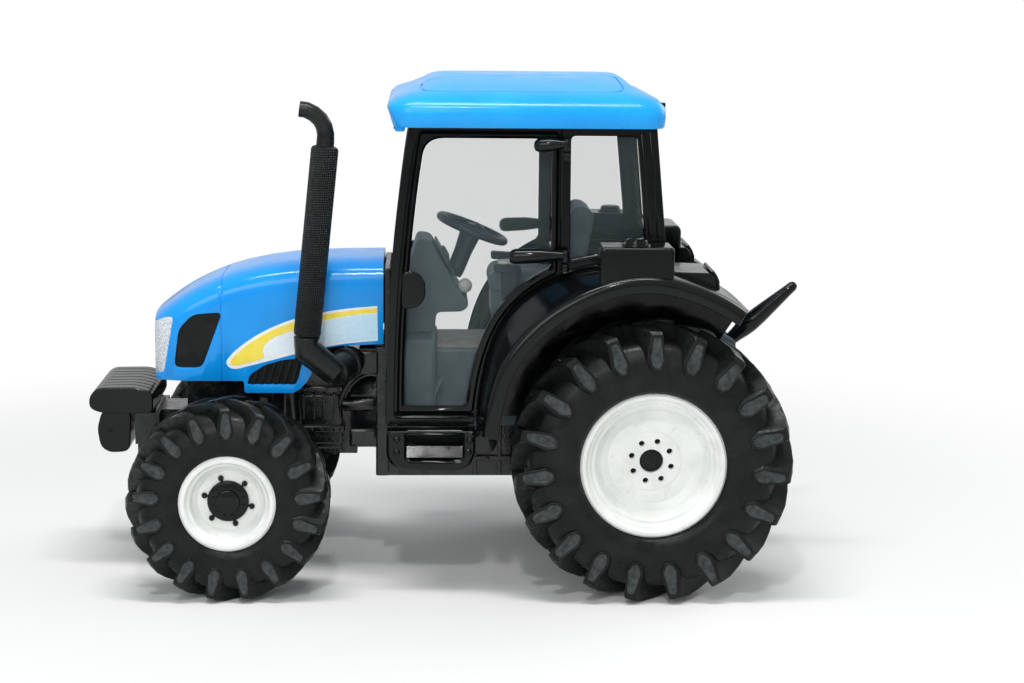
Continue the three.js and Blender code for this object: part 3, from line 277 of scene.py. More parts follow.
def polish(tree, shader, place, size, low, high):
    """Lets the roughness drift from low to high in patches size millimetres wide."""
    tree.links.new(vary(tree, place, size, low, high), shader.inputs["Roughness"])


def paint(piece, material, slot, body, *nodes):
    """Gives a piece its finish, its body and the CAD nodes that it stands for."""
    piece.data.materials.clear()
    piece.data.materials.append(material)
    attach(piece, body)
    if nodes:
        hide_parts(*nodes)
    return piece


# White ABS, injection moulded and semi-gloss, a little greyer where fingers and dust have dulled it.
white_abs, tree, shader, place = finish_of("white_moulded_abs", 0xEEF0ED, Roughness=0.32, IOR=1.53)
mottle(tree, shader, place, 5.0, 0xF0F2EF, 0xE2E5E2)
polish(tree, shader, place, 2.2, 0.26, 0.42)
grain(tree, shader, place, 0.35, 0.006)

# Painted shade: a flat near-black that stands for the unlit hollow of the bore and of the bolt holes.
bore_painted_shade, tree, shader, place = finish_of("bore_shadow", 0x0A0B0B, Roughness=0.9)
polish(tree, shader, place, 0.6, 0.8, 0.98)

RIM_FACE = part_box("rear_rim_left")[1].y / MM - REAR_AXLE.y / MM
REAR_RIM_RADIUS = (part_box("rear_rim_left")[1].z - REAR_AXLE.z) / MM
HUB_HOLE = 1.9
HUB_PLATEAU = 4.7
DISH = RIM_FACE - 3.7
BOLT_CIRCLE = 3.3
DIMPLE_CIRCLE = 6.3

rim = spun("rear_rim_left", [
    (HUB_HOLE, DISH - 1.2), (HUB_HOLE, DISH - 0.1), (HUB_HOLE + 0.15, DISH), (HUB_PLATEAU, DISH),
    (HUB_PLATEAU + 0.25, DISH - 0.22), (7.0, DISH - 0.3), (7.3, DISH - 0.1), (8.2, DISH + 0.15), (8.75, DISH + 0.75),
    (9.1, RIM_FACE - 1.8), (9.35, RIM_FACE - 1.55), (9.75, RIM_FACE - 1.5), (9.95, RIM_FACE - 1.3),
    (10.1, RIM_FACE - 0.85), (10.4, RIM_FACE - 0.75), (10.55, RIM_FACE - 0.6), (10.65, RIM_FACE - 0.2),
    (10.85, RIM_FACE), (11.35, RIM_FACE), (REAR_RIM_RADIUS, RIM_FACE - 0.35),
    (REAR_RIM_RADIUS, -RIM_FACE + 0.3), (REAR_RIM_RADIUS - 0.3, -RIM_FACE), (REAR_RIM_RADIUS - 1.0, -RIM_FACE),
    (REAR_RIM_RADIUS - 1.4, -RIM_FACE + 0.6), (9.6, DISH - 2.2), (8.6, DISH - 1.5), (3.6, DISH - 1.4),
    (3.4, DISH - 2.6), (1.9, DISH - 2.6),
], REAR_AXLE, steps=96)
for turn in range(8):
    angle = tau * (turn + 0.35) / 8
    place_of_bolt = REAR_AXLE + Vector((BOLT_CIRCLE * cos(angle), 0, BOLT_CIRCLE * sin(angle))) * MM
    hole = rod("hole", place_of_bolt + Vector((0, DISH - 0.9, 0)) * MM, place_of_bolt + Vector((0, DISH + 1, 0)) * MM,
               0.47)
    cut(rim, hole)
for turn in range(6):
    angle = tau * (turn + 0.1) / 6
    spot = REAR_AXLE + Vector((DIMPLE_CIRCLE * cos(angle), DISH - 0.3, DIMPLE_CIRCLE * sin(angle))) * MM
    cut(rim, rod("dimple", spot - Vector((0, 0.12, 0)) * MM, spot + Vector((0, 0.5, 0)) * MM, 0.22, 0.34))
round_edges(rim, 0.06, 1)
# Painted shade: a near-black plug in the bore stands for its unlit hollow.
bore_shade_plug = spun("rear_bore_shade_left", [
    (0, DISH - 0.7), (1.2, DISH - 0.7), (1.5, DISH - 0.62), (1.87, DISH - 0.8), (1.87, DISH - 3), (0, DISH - 3),
], REAR_AXLE, steps=40, closed=False)
# Painted shade: a near-black ring behind the bolt holes makes them read as dark hollows.
bolt_shade_ring = spun("rear_bolt_shadow_left", [
    (BOLT_CIRCLE - 0.8, DISH - 0.8), (BOLT_CIRCLE + 0.8, DISH - 0.8), (BOLT_CIRCLE + 0.8, DISH - 0.95),
    (BOLT_CIRCLE - 0.8, DISH - 0.95),
], REAR_AXLE, steps=48)
# Open fault: the right rim is copied after the left one is painted, so it names both CAD rims.
for side, twin in (("left", False), ("right", True)):
    body = f"rear_wheel_{side}"
    rim_here = mirror(rim, "rear_rim_right_look") if twin else rim
    bore_shade_here = mirror(bore_shade_plug, "rear_bore_shade_right") if twin else bore_shade_plug
    shadow_here = mirror(bolt_shade_ring, "rear_bolt_shadow_right") if twin else bolt_shade_ring
    rim_here.name = f"rear_rim_{side}_look"
    paint(rim_here, white_abs, "white_plastic", body, f"rear_rim_{side}")
    paint(bore_shade_here, bore_painted_shade, "black_plastic", body)
    paint(shadow_here, bore_painted_shade, "black_plastic", body)

# ---- Rear tyres ----
# Soft black vinyl, moulded in one and stretched over the rim, with nineteen lugs a side.
# A lug ends on the shoulder in a flat, coffin-shaped face with a raised border, and sweeps forward to the middle.

# Black vinyl, matt on the walls, with a finer, slightly shiny skin on the lugs.
tyre_vinyl, tree, shader, place = finish_of("black_vinyl_tyre", 0x101413, Roughness=0.45, IOR=1.5,
                                           Specular_IOR_Level=0.18)
mottle(tree, shader, place, 3.0, 0x0D1110, 0x171C1B)
polish(tree, shader, place, 1.1, 0.22, 0.48)
grain(tree, shader, place, 0.25, 0.012)

# The same vinyl in the lugs' end faces, rubbed grey by handling.
worn_vinyl, tree, shader, place = finish_of("rubbed_vinyl", 0x2E3434, Roughness=0.35, IOR=1.5,
                                           Specular_IOR_Level=0.3)
mottle(tree, shader, place, 0.8, 0x1C2222, 0x434A4A, (0.3, 0.7))
grain(tree, shader, place, 0.3, 0.02)


def lug_section(centre, radii, widths, along, lean):
    """Six corners of a lug across its run: inner, middle and outer radius with the half width at each."""
    corners = []
    for side, order in ((-1, (0, 1, 2)), (1, (2, 1, 0))):
        for level in order:
            turn = pi / 2 + lean + side * widths[level] / radii[level]
            corners.append(centre + Vector((radii[level] * cos(turn), along, radii[level] * sin(turn))) * MM)
    return corners


def tyre(name, centre, carcass, stations, lugs, worn_inset):
    """The carcass and its two rows of lugs, the rows half a pitch apart."""
    body = spun(name + "_carcass", carcass, centre, steps=96)
    body.data.materials.append(tyre_vinyl)
    body.data.materials.append(worn_vinyl)
    lug = start(name + "_lug")
    for radii, widths, along, lean in stations:
        draw(lug_section(centre, radii, widths, along, radians(lean)))
    bpy.ops.mesh.select_all(action="SELECT")
    bpy.ops.mesh.bridge_edge_loops()
    for along in (stations[-1][2], stations[0][2]):
        pick(lug, lambda place: abs(place.y - centre.y - along * MM) < 0.01 * MM)
        bpy.ops.mesh.edge_face_add()
    bpy.ops.mesh.select_all(action="SELECT")
    bpy.ops.mesh.normals_make_consistent(inside=False)
    pick(lug, lambda place: abs(place.y - centre.y - stations[0][2] * MM) < 0.01 * MM)
    bpy.ops.mesh.inset(thickness=worn_inset * MM, depth=-0.18 * MM)
    bpy.ops.mesh.inset(thickness=0.12 * MM, depth=-0.06 * MM)
    done(lug, 30)
    lug.data.materials.append(tyre_vinyl)
    lug.data.materials.append(worn_vinyl)
    outermost = max(face.center.y for face in lug.data.polygons)
    for face in lug.data.polygons:
        face.material_index = int(face.center.y > outermost - 0.3 * MM and abs(face.normal.y) > 0.9
                                  and len(face.vertices) == 6)
    round_edges(lug, 0.12, 1, 25)
    only(lug)
    bpy.ops.object.duplicate()
    far_lug = bpy.context.object
    far_lug.data.transform(Matrix.Translation(centre) @ Matrix.Rotation(pi / lugs, 4, "Y")
                           @ Matrix.Scale(-1, 4, (0, 1, 0)) @ Matrix.Translation(-centre))
    far_lug.data.flip_normals()
    for row in (lug, far_lug):
        only(row)
        bpy.ops.object.mode_set(mode="EDIT")
        bpy.ops.mesh.select_all(action="SELECT")
        bpy.ops.mesh.spin(steps=lugs - 1, dupli=True, angle=tau * (lugs - 1) / lugs, center=centre, axis=(0, 1, 0))
        bpy.ops.object.mode_set(mode="OBJECT")
    return join(name, [body, lug, far_lug])


def fit_tyre(made, end):
    """Puts the tyre on its wheel on each side and keeps both of its finishes."""
    twin = mirror(made, f"{end}_tyre_right_look")
    for piece, side in ((made, "left"), (twin, "right")):
        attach(piece, f"{end}_wheel_{side}")
        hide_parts(f"{end}_tyre_{side}")


TREAD = REAR_TYRE_RADIUS - 1.9
REAR_LUGS = 19
WORN_INSET = 0.38
rear_tyre = tyre("rear_tyre_left_look", REAR_AXLE, [
    (REAR_RIM_RADIUS, 4.4), (REAR_RIM_RADIUS + 0.15, 5.2), (12.3, 5.75), (13.2, 6.05), (15.4, 6.2), (17.2, 5.95),
    (18.6, 5.35), (19.6, 4.4), (TREAD - 0.35, 3.0), (TREAD - 0.05, 1.4), (TREAD, 0),
    (TREAD - 0.05, -1.4), (TREAD - 0.35, -3.0), (19.6, -4.4), (18.6, -5.35), (17.2, -5.95), (15.4, -6.2),
    (13.2, -6.05), (12.3, -5.75), (REAR_RIM_RADIUS + 0.15, -5.2), (REAR_RIM_RADIUS, -4.4),
], [
    ((15.7, 17.3, 21.3), (0.65, 1.4, 0.9), REAR_TYRE_HALF, 0),
    ((15.6, 17.2, 21.9), (0.8, 1.55, 1.05), REAR_TYRE_HALF - 0.55, -0.6),
    ((17.2, 19.2, 22.4), (1.5, 1.6, 1.1), 4.2, -4.0),
    ((19.2, 20.6, REAR_TYRE_RADIUS), (1.5, 1.4, 1.0), 2.2, -9.5),
    ((19.4, 20.7, REAR_TYRE_RADIUS - 0.05), (1.3, 1.2, 0.85), -0.1, -16.5),
], REAR_LUGS, WORN_INSET)
fit_tyre(rear_tyre, "rear")

# ---- Front wheel rims and hubs ----
# White ABS rims like the rear ones, with a shallower dish. Each holds a gloss black hub cap, pressed in, with a ring
# of small bumps round its flat middle and six bolt heads on short arms that lie on the disc.

hub_low, hub_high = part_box("front_tyre_left")
FRONT_AXLE = (hub_low + hub_high) / 2
FRONT_TYRE_RADIUS = (hub_high.z - hub_low.z) / 2 / MM
FRONT_TYRE_HALF = (hub_high.y - hub_low.y) / 2 / MM
FRONT_RIM_FACE = (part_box("front_rim_left")[1].y - FRONT_AXLE.y) / MM
FRONT_RIM_RADIUS = (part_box("front_rim_left")[1].z - FRONT_AXLE.z) / MM
FRONT_DISC = FRONT_RIM_FACE - 2.6
CAP_RADIUS = 3.3
ARM_CIRCLE = 3.85

# Glossy black ABS, as moulded: dark and slightly uneven, so that its highlights break up softly.
gloss_black, tree, shader, place = finish_of("gloss_black_abs", 0x07090A, Roughness=0.13, IOR=1.5,
                                            Specular_IOR_Level=0.25)
mottle(tree, shader, place, 6.0, 0x060809, 0x0C0F10)
polish(tree, shader, place, 2.5, 0.08, 0.2)
grain(tree, shader, place, 1.2, 0.004)

front_rim = spun("front_rim_left_look", [
    (CAP_RADIUS - 0.7, FRONT_DISC - 0.9), (CAP_RADIUS - 0.7, FRONT_DISC), (4.9, FRONT_DISC + 0.02),
    (5.15, FRONT_DISC + 0.25), (5.5, FRONT_DISC + 0.4), (5.75, FRONT_DISC + 0.8), (5.95, FRONT_RIM_FACE - 0.95),
    (6.1, FRONT_RIM_FACE - 0.8), (6.3, FRONT_RIM_FACE - 0.75), (6.45, FRONT_RIM_FACE - 0.6),
    (6.6, FRONT_RIM_FACE - 0.2), (6.8, FRONT_RIM_FACE), (7.3, FRONT_RIM_FACE),
    (FRONT_RIM_RADIUS, FRONT_RIM_FACE - 0.3), (FRONT_RIM_RADIUS, -FRONT_RIM_FACE + 0.3),
    (FRONT_RIM_RADIUS - 0.3, -FRONT_RIM_FACE), (FRONT_RIM_RADIUS - 0.8, -FRONT_RIM_FACE),
    (FRONT_RIM_RADIUS - 1.1, -FRONT_RIM_FACE + 0.5), (6.2, FRONT_DISC - 1.9), (5.6, FRONT_DISC - 1.3),
    (CAP_RADIUS - 0.5, FRONT_DISC - 1.1),
], FRONT_AXLE, steps=80)
cap = spun("front_cap", [
    (0, FRONT_DISC + 1.1), (1.65, FRONT_DISC + 1.1), (1.85, FRONT_DISC + 1.02), (1.95, FRONT_DISC + 0.75),
    (2.9, FRONT_DISC + 0.68), (3.15, FRONT_DISC + 0.6), (CAP_RADIUS, FRONT_DISC + 0.4),
    (CAP_RADIUS, FRONT_DISC + 0.02), (CAP_RADIUS - 0.72, FRONT_DISC + 0.01), (CAP_RADIUS - 0.72, -3.2),
    (0, -3.2),
], FRONT_AXLE, steps=48, closed=False)
cap_pieces = [cap]
for turn in range(12):
    angle = tau * (turn + 0.5) / 12
    spot = FRONT_AXLE + Vector((2.42 * cos(angle), FRONT_DISC + 0.7, 2.42 * sin(angle))) * MM
    cap_pieces.append(rod("bump", spot - Vector((0, 0.2, 0)) * MM, spot + Vector((0, 0.24, 0)) * MM, 0.36, 0.24, 10,
                          0.06))
for turn in range(6):
    angle = tau * (turn + 0.22) / 6
    out = Vector((cos(angle), 0, sin(angle)))
    level = FRONT_AXLE + Vector((0, FRONT_DISC + 0.14, 0)) * MM
    cap_pieces.append(rod("arm", level + out * 3.0 * MM, level + out * ARM_CIRCLE * MM, 0.2, 0.2, 8))
    head = FRONT_AXLE + out * ARM_CIRCLE * MM
    cap_pieces.append(rod("bolt", head + Vector((0, FRONT_DISC - 0.1, 0)) * MM,
                          head + Vector((0, FRONT_DISC + 0.42, 0)) * MM, 0.5, 0.42, 12, 0.08))
front_cap = join("front_hub_left_look", cap_pieces)
for piece, twin_name, material, slot, node in (
        (front_rim, "front_rim_right_look", white_abs, "white_plastic", "front_rim"),
        (front_cap, "front_hub_right_look", gloss_black, "black_plastic", "front_hub")):
    twin = mirror(piece, twin_name)
    paint(piece, material, slot, "front_wheel_left", node + "_left")
    paint(twin, material, slot, "front_wheel_right", node + "_right")

# ---- Front tyres ----
# The same black vinyl as at the rear, with seventeen broad lugs a side that curve back like fins.

FRONT_LUGS = 17
FRONT_WORN_INSET = 0.32
front_tyre = tyre("front_tyre_left_look", FRONT_AXLE, [
    (FRONT_RIM_RADIUS, 3.6), (FRONT_RIM_RADIUS + 0.12, 4.2), (8.3, 4.55), (9.2, 4.75), (10.6, 4.8), (12.0, 4.6),
    (13.2, 4.15), (14.0, 3.4), (14.45, 2.4), (14.65, 1.2), (14.7, 0),
    (14.65, -1.2), (14.45, -2.4), (14.0, -3.4), (13.2, -4.15), (12.0, -4.6), (10.6, -4.8), (9.2, -4.75),
    (8.3, -4.55), (FRONT_RIM_RADIUS + 0.12, -4.2), (FRONT_RIM_RADIUS, -3.6),
], [
    ((10.5, 11.8, 15.1), (0.6, 1.2, 0.75), FRONT_TYRE_HALF, 0),
    ((10.4, 11.7, 15.6), (0.75, 1.35, 0.9), FRONT_TYRE_HALF - 0.45, -0.8),
    ((11.9, 13.6, 16.1), (1.3, 1.45, 1.0), 3.3, -5.5),
    ((13.6, 14.5, FRONT_TYRE_RADIUS), (1.35, 1.3, 0.9), 1.7, -12.0),
    ((13.8, 14.6, FRONT_TYRE_RADIUS - 0.05), (1.15, 1.0, 0.7), -0.1, -20.0),
], FRONT_LUGS, FRONT_WORN_INSET)
fit_tyre(front_tyre, "front")

# ---- Bonnet ----
# A die-cast shell in zinc, sprayed with gloss blue enamel and hung on the chassis. The nose is a cap with its own
# seam, and the lower edge drops round a louvre on each side.

NOSE = (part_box("bonnet")[1].x - REAR_AXLE.x) / MM
BONNET_REAR = (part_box("bonnet")[0].x - REAR_AXLE.x) / MM
BONNET_HALF = (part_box("bonnet")[1].y) / MM
BONNET_TOP = (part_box("bonnet")[1].z) / MM
BONNET_FOOT = BONNET_TOP - 20
BONNET_WALL = 1.3
NOSE_SEAM = NOSE - 11.2


def loft(name, sections, smooth=35):
    """A closed skin over loops of points that follow one another."""
    piece = start(name)
    for section in sections:
        draw(section)
    bpy.ops.mesh.select_all(action="SELECT")
    bpy.ops.mesh.bridge_edge_loops()
    bpy.ops.mesh.select_all(action="SELECT")
    bpy.ops.mesh.fill_holes(sides=0)
    return done(piece, smooth)


def prism(name, loops, run, bevel=0.0, segments=2):
    """A body drawn out from flat loops of points along a run in millimetres. Loops after the first are openings."""
    piece = start(name)
    for loop in loops:
        draw(loop)
    bpy.ops.mesh.select_all(action="SELECT")
    if len(loops) > 1:
        bpy.ops.mesh.fill()
    else:
        bpy.ops.mesh.edge_face_add()
    bpy.ops.mesh.select_all(action="SELECT")
    bpy.ops.mesh.extrude_region_move(TRANSFORM_OT_translate={"value": Vector(run) * MM})
    done(piece)
    if bevel:
        round_edges(piece, bevel, segments)
    return piece


def plate(name, outlines, low, high, bevel=0.0, segments=2):
    """A slab across the tractor between two values of Y, from outlines in (x, z)."""
    return prism(name, [[at(x, low, z) for x, z in outline] for outline in outlines], (0, high - low, 0), bevel,
                 segments)


def level_plate(name, outlines, low, high, bevel=0.0, segments=2):
    """A level slab between two heights, from outlines in (x, y)."""
    return prism(name, [[at(x, y, low) for x, y in outline] for outline in outlines], (0, 0, high - low), bevel,
                 segments)


def across(side, near, far):
    """Two distances from the middle as values of Y, low first, on the side that is 1 or -1."""
    return sorted((side * near, side * far))


def box_piece(name, low, high, bevel=0.0, segments=2):
    """A block between two corners in millimetres."""
    return plate(name, [[(low[0], low[2]), (high[0], low[2]), (high[0], high[2]), (low[0], high[2])]],
                 low[1], high[1], bevel, segments)


def flowing(points, steps=5, closed=False):
    """A smooth line through points, with some steps between each two."""
    count = len(points)
    line = []
    for here in range(count if closed else count - 1):
        before, first, second, after = (
            points[(here + shift) % count] if closed else points[min(max(here + shift, 0), count - 1)]
            for shift in (-1, 0, 1, 2))
        for step in range(steps):
            t = step / steps
            line.append(tuple(
                0.5 * (2 * b + (c - a) * t + (2 * a - 5 * b + 4 * c - d) * t ** 2 + (3 * b - a - 3 * c + d) * t ** 3)
                for a, b, c, d in zip(before, first, second, after)))
    return line if closed else line + [points[-1]]


def rounded(points, radius, steps=3):
    """A closed outline whose corners are rounded by up to a radius."""
    line = []
    count = len(points)
    for here in range(count):
        corner = Vector(points[here])
        ends = []
        for other in (points[here - 1], points[(here + 1) % count]):
            run = Vector(other) - corner
            ends.append(corner + run.normalized() * min(radius, run.length * 0.45))
        for step in range(steps + 1):
            t = step / steps
            line.append(tuple(ends[0] * (1 - t) ** 2 + corner * 2 * t * (1 - t) + ends[1] * t ** 2))
    return line


def bonnet_top(back):
    share = min(1.0, max(0.0, back / (NOSE - BONNET_REAR)))
    return BONNET_TOP - 9 * (1 - share) ** 3.2 * (1 - 0.25 * share) - 0.4 * (1 - share)


def bonnet_section(x, inset):
    back = NOSE - x
    corner = 6
    narrowing = 3.2 * (1 - sqrt(1 - (1 - max(0, back) / corner) ** 2)) if back < corner else 0
    half = BONNET_HALF - narrowing - inset
    shoulder = 4.2 - inset * 0.5
    top = bonnet_top(back) - inset
    foot = BONNET_FOOT - 3 - inset * 4
    section = []
    steps = 26
    for step in range(steps + 1):
        angle = pi * step / steps
        across, up = cos(angle), sin(angle)
        section.append(at(x, half * (1 if across >= 0 else -1) * abs(across) ** 0.45,
                          top - shoulder + shoulder * max(up, 0) ** 0.7))
    return section + [at(x, -half, foot), at(x, half, foot)]


def bonnet_skin(name, inset):
    """The bonnet's whole form, moved in by an inset. An inset below 0 stands proud of it."""
    front = NOSE - max(0, inset)
    behind_nose = (32.6, 27.6, 22.6, 18.6, 14.6, 12, 10, 8, 6, 5, 4, 3, 2.1, 1.3, 0.7, 0.25)
    between = [NOSE - back for back in behind_nose if NOSE - back < front - 0.1]
    stations = [BONNET_REAR - max(0, inset) * 4] + between + [front]
    return loft(name, [bonnet_section(x, inset) for x in stations])


def skin_panel(name, outline, low, high, inset):
    """A piece of the bonnet's skin inside an outline, moved in from the surface by an inset."""
    panel = plate(name, [outline], low, high)
    skin = bonnet_skin("skin", inset)
    modify(panel, "BOOLEAN", operation="INTERSECT", object=skin, solver="EXACT")
    bpy.data.objects.remove(skin)
    return panel


# Gloss blue enamel over the casting, with a faint orange peel.
blue_enamel, tree, shader, place = finish_of("gloss_blue_enamel", 0x119CF2, Roughness=0.16, IOR=1.5,
                                             Specular_IOR_Level=0.3, Coat_Weight=0.08, Coat_Roughness=0.04)
mottle(tree, shader, place, 9.0, 0x0B96EE, 0x109CF4)
polish(tree, shader, place, 4.0, 0.12, 0.24)
grain(tree, shader, place, 1.6, 0.012)

# Dull black paint in the openings, with a fine tooth.
matt_black, tree, shader, place = finish_of("matt_black_paint", 0x101414, Roughness=0.55, Specular_IOR_Level=0.2)
mottle(tree, shader, place, 2.0, 0x0E1212, 0x181C1C)
polish(tree, shader, place, 1.5, 0.5, 0.7)
grain(tree, shader, place, 0.3, 0.012)

# Hot-stamped silver on a grained plastic, which glitters.
lamp_silver, tree, shader, place = finish_of("stamped_silver_lamp", 0xD3D7DE, Roughness=0.28, Metallic=0.35)
mottle(tree, shader, place, 0.22, 0xBFC5CF, 0xF1F4F8, (0.4, 0.6))
polish(tree, shader, place, 0.3, 0.18, 0.45)
grain(tree, shader, place, 0.28, 0.09, 1.0)

INTAKE = rounded([(77.3, 35.2), (72.7, 35.2), (69.3, 44.4), (74.2, 44.0), (76.5, 41.5)], 1.1, 4)
LAMP = rounded([(84, 34.1), (79.1, 34.1), (77.3, 43.7), (79.1, 43.3), (84, 40.5)], 0.8, 3)
MOUTH = rounded([(84, 34.3), (78.9, 34.3), (77.9, 41), (84, 41)], 0.5, 2)
LOUVRE = rounded([(65.6, 31.5), (65.0, 34.0), (62.6, 35.6), (59.6, 36.5), (56.2, 36.8), (57.0, 33.4), (57.9, 31.5)],
                 0.7, 3)
skirt = [(90, BONNET_FOOT), (66.1, BONNET_FOOT), (65.9, 32.6), (65.9, 31.3), (65.6, 31.0), (57.9, 31.0), (56.7, 31.7),
         (55.5, 33.0), (54.8, 34.4), (54.4, 36.0), (54.3, 38.2), (50, 38.9), (38, 39.4), (38, 5), (90, 5)]
bonnet = bonnet_skin("bonnet_look", 0)
cut(bonnet, bonnet_skin("hollow", BONNET_WALL))
cut(bonnet, plate("below", [skirt], -20, 20))
for side in (-1, 1):
    for outline, near, depth in ((INTAKE, 8, 0.28), (LOUVRE, 8, 0.5), (LAMP, 4.0, 0.3)):
        opening = skin_panel("opening", outline, *across(side, near, 14), -0.6)
        cut(opening, bonnet_skin("floor_of_opening", depth))
        cut(bonnet, opening)
cut(bonnet, plate("mouth", [MOUTH], -3.7, 3.7))
seam = box_piece("seam", (NOSE_SEAM - 0.09, -14, 20), (NOSE_SEAM + 0.09, 14, 60))
cut(seam, bonnet_skin("seam_floor", 0.14))
cut(bonnet, seam)
round_edges(bonnet, 0.14, 2, 40)
paint(bonnet, blue_enamel, "blue_enamel", "chassis", "bonnet")

for side, name in ((1, "left"), (-1, "right")):
    reach = across(side, 8, 14)
    intake = skin_panel(f"side_grille_{name}_look", INTAKE, *reach, 0.12)
    cut(intake, bonnet_skin("back", 0.9))
    round_edges(intake, 0.1, 1, 40)
    paint(intake, matt_black, "matt_black", "chassis", f"side_grille_{name}")
    lamp = skin_panel(f"headlamp_{name}_look", LAMP, *across(side, 4.15, 14), 0.06)
    cut(lamp, bonnet_skin("back", 0.9))
    round_edges(lamp, 0.12, 2, 40)
    paint(lamp, lamp_silver, "silver_plastic", "chassis", f"headlamp_{name}")
    slats = []
    for turn in range(7):
        foot = 65.2 - turn * 1.25
        slats.append(plate("slat", [[(foot, 31), (foot - 0.62, 31), (foot - 2.5, 37), (foot - 1.88, 37)]],
                           *across(side, 10.45, 10.95), 0.12, 1))
    louvre = join(f"louvre_slats_{name}", slats)
    window = plate("window", [LOUVRE], *across(side, 9, 12))
    modify(louvre, "BOOLEAN", operation="INTERSECT", object=window, solver="EXACT")
    bpy.data.objects.remove(window)
    back = skin_panel("louvre_back", LOUVRE, *reach, 0.48)
    cut(back, bonnet_skin("back", 1.2))
    louvre = join(f"bonnet_louvre_{name}_look", [louvre, back])
    soften(louvre)
    paint(louvre, matt_black, "matt_black", "chassis", f"bonnet_louvre_{name}")

grille_bars = [skin_panel("grille_back", MOUTH, -3.6, 3.6, 0.75)]
cut(grille_bars[0], bonnet_skin("back", 1.25))
for turn in range(5):
    level = 35.1 + turn * 1.25
    bar = skin_panel("bar", [(84, level), (77, level), (77, level + 0.55), (84, level + 0.55)], -3.6, 3.6, 0.25)
    cut(bar, bonnet_skin("back", 1.0))
    grille_bars.append(bar)
grille = join("front_grille_look", grille_bars)
soften(grille)
paint(grille, matt_black, "matt_black", "chassis", "front_grille")

# ---- Side stripe ----
# A printed film on each side of the bonnet: a white swoosh with a yellow crescent along its top, and a field that
# fades from white to pale blue. Its middle is bare.

# Screen-printed yellow on film.
print_yellow, tree, shader, place = finish_of("printed_yellow", 0xFFE64A, Roughness=0.3, Specular_IOR_Level=0.3)
mottle(tree, shader, place, 1.5, 0xFFE543, 0xFFEC66)
polish(tree, shader, place, 0.8, 0.22, 0.36)

# Screen-printed white film under it.
print_white, tree, shader, place = finish_of("printed_white", 0xEFF4F8, Roughness=0.3)
mottle(tree, shader, place, 1.5, 0xECF2F7, 0xF7FAFC)
polish(tree, shader, place, 0.8, 0.22, 0.36)

# The printed field: white ahead, pale blue towards the cab, as a fine halftone.
print_field, tree, shader, place = finish_of("printed_fade", 0xDDF2FE, Roughness=0.3, Specular_IOR_Level=0.3)
parts = add_node(tree, "ShaderNodeSeparateXYZ", links={"Vector": place})
fade = add_node(tree, "ShaderNodeMapRange", inputs={"From Min": at(61, 0, 0).x, "From Max": at(47, 0, 0).x},
                links={"Value": parts.outputs["X"]})
speckle = add_node(tree, "ShaderNodeMath", {"operation": "MULTIPLY_ADD"},
                   {1: 0.85}, {0: fade.outputs["Result"], 2: vary(tree, place, 0.5, 0.0, 0.15)})
tree.links.new(blend_colours(tree, speckle.outputs[0], 0xF2F9FF, 0xC4EAFF), shader.inputs["Base Color"])
polish(tree, shader, place, 0.8, 0.22, 0.36)

TOP_EDGE = flowing([(44.1, 45.5), (48.5, 45.1), (52.5, 44.5), (57.8, 43.25), (61.6, 41.75), (64.85, 39.9),
                    (67.2, 38.1), (68.5, 36.7)], 4)
TIP = flowing([(68.5, 36.7), (68.75, 36.0), (68.3, 35.3), (67.4, 35.0), (66.4, 35.15)], 3)
LOW_EDGE = flowing([(66.4, 35.15), (62, 36.3), (57.0, 37.65), (52.3, 38.75), (48.5, 39.35), (44.0, 39.75)], 4)
CRESCENT_TOP = flowing([(44.1, 45.15), (48.5, 44.75), (52.5, 44.1), (57.8, 42.8), (61.5, 41.3), (64.8, 39.35),
                        (67.1, 37.5), (68.1, 36.3)], 4)
CRESCENT_TIP = [(68.1, 35.9), (67.7, 35.6), (67.0, 35.55)]
CRESCENT_LOW = flowing([(65.5, 36.0), (62.7, 36.85), (62.8, 38.1), (62.3, 39.2), (60.9, 40.3), (57.7, 41.45),
                        (53.0, 43.0), (48.5, 43.95), (44.1, 44.4)], 4)
FIELD = (flowing([(44.1, 44.25), (48.5, 43.8), (53.0, 42.85), (57.7, 41.25), (60.8, 40.1), (62.1, 39.0), (62.6, 38.0),
                  (62.45, 36.9)], 4)
         + flowing([(62.45, 36.75), (57.0, 38.1), (52.3, 39.15), (48.5, 39.6), (44.1, 39.85)], 4))
for side, name in ((1, "left"), (-1, "right")):
    for outline, height, material, layer in (
            (TOP_EDGE[:-1] + TIP[:-1] + LOW_EDGE, 0.03, print_white, "outline"),
            (CRESCENT_TOP + CRESCENT_TIP + CRESCENT_LOW, 0.06, print_yellow, "crescent"),
            (FIELD, 0.05, print_field, "field")):
        film = plate(f"stripe_{layer}_{name}", [outline],
                     *across(side, (BONNET_HALF - 0.1), (BONNET_HALF + height)))
        paint(film, material, "white_plastic", "chassis")

# ---- Exhaust ----
# An upright silencer on the left, moulded in matt black plastic with a knurled heat shield. Its outlet curls
# forward and is open at the tip. At the foot a mitred elbow leads to a flange on the engine.


def tube(name, route, radii, first_side, sides=24):
    """A round pipe through places in the frame, with its radius in millimetres at each."""
    side = Vector(first_side)
    sections = []
    for index, here in enumerate(route):
        along = (route[min(index + 1, len(route) - 1)] - route[max(index - 1, 0)]).normalized()
        side = (side - along * side.dot(along)).normalized()
        up = along.cross(side)
        sections.append([here + (side * cos(tau * turn / sides) + up * sin(tau * turn / sides)) * radii[index] * MM
                         for turn in range(sides)])
    return loft(name, sections)


SHIELD_RADIUS = 2.2
SHIELD_FOOT = at(55.35, 15, 41.2)
SHIELD_HEAD = at(52.25, 15, 71.9)

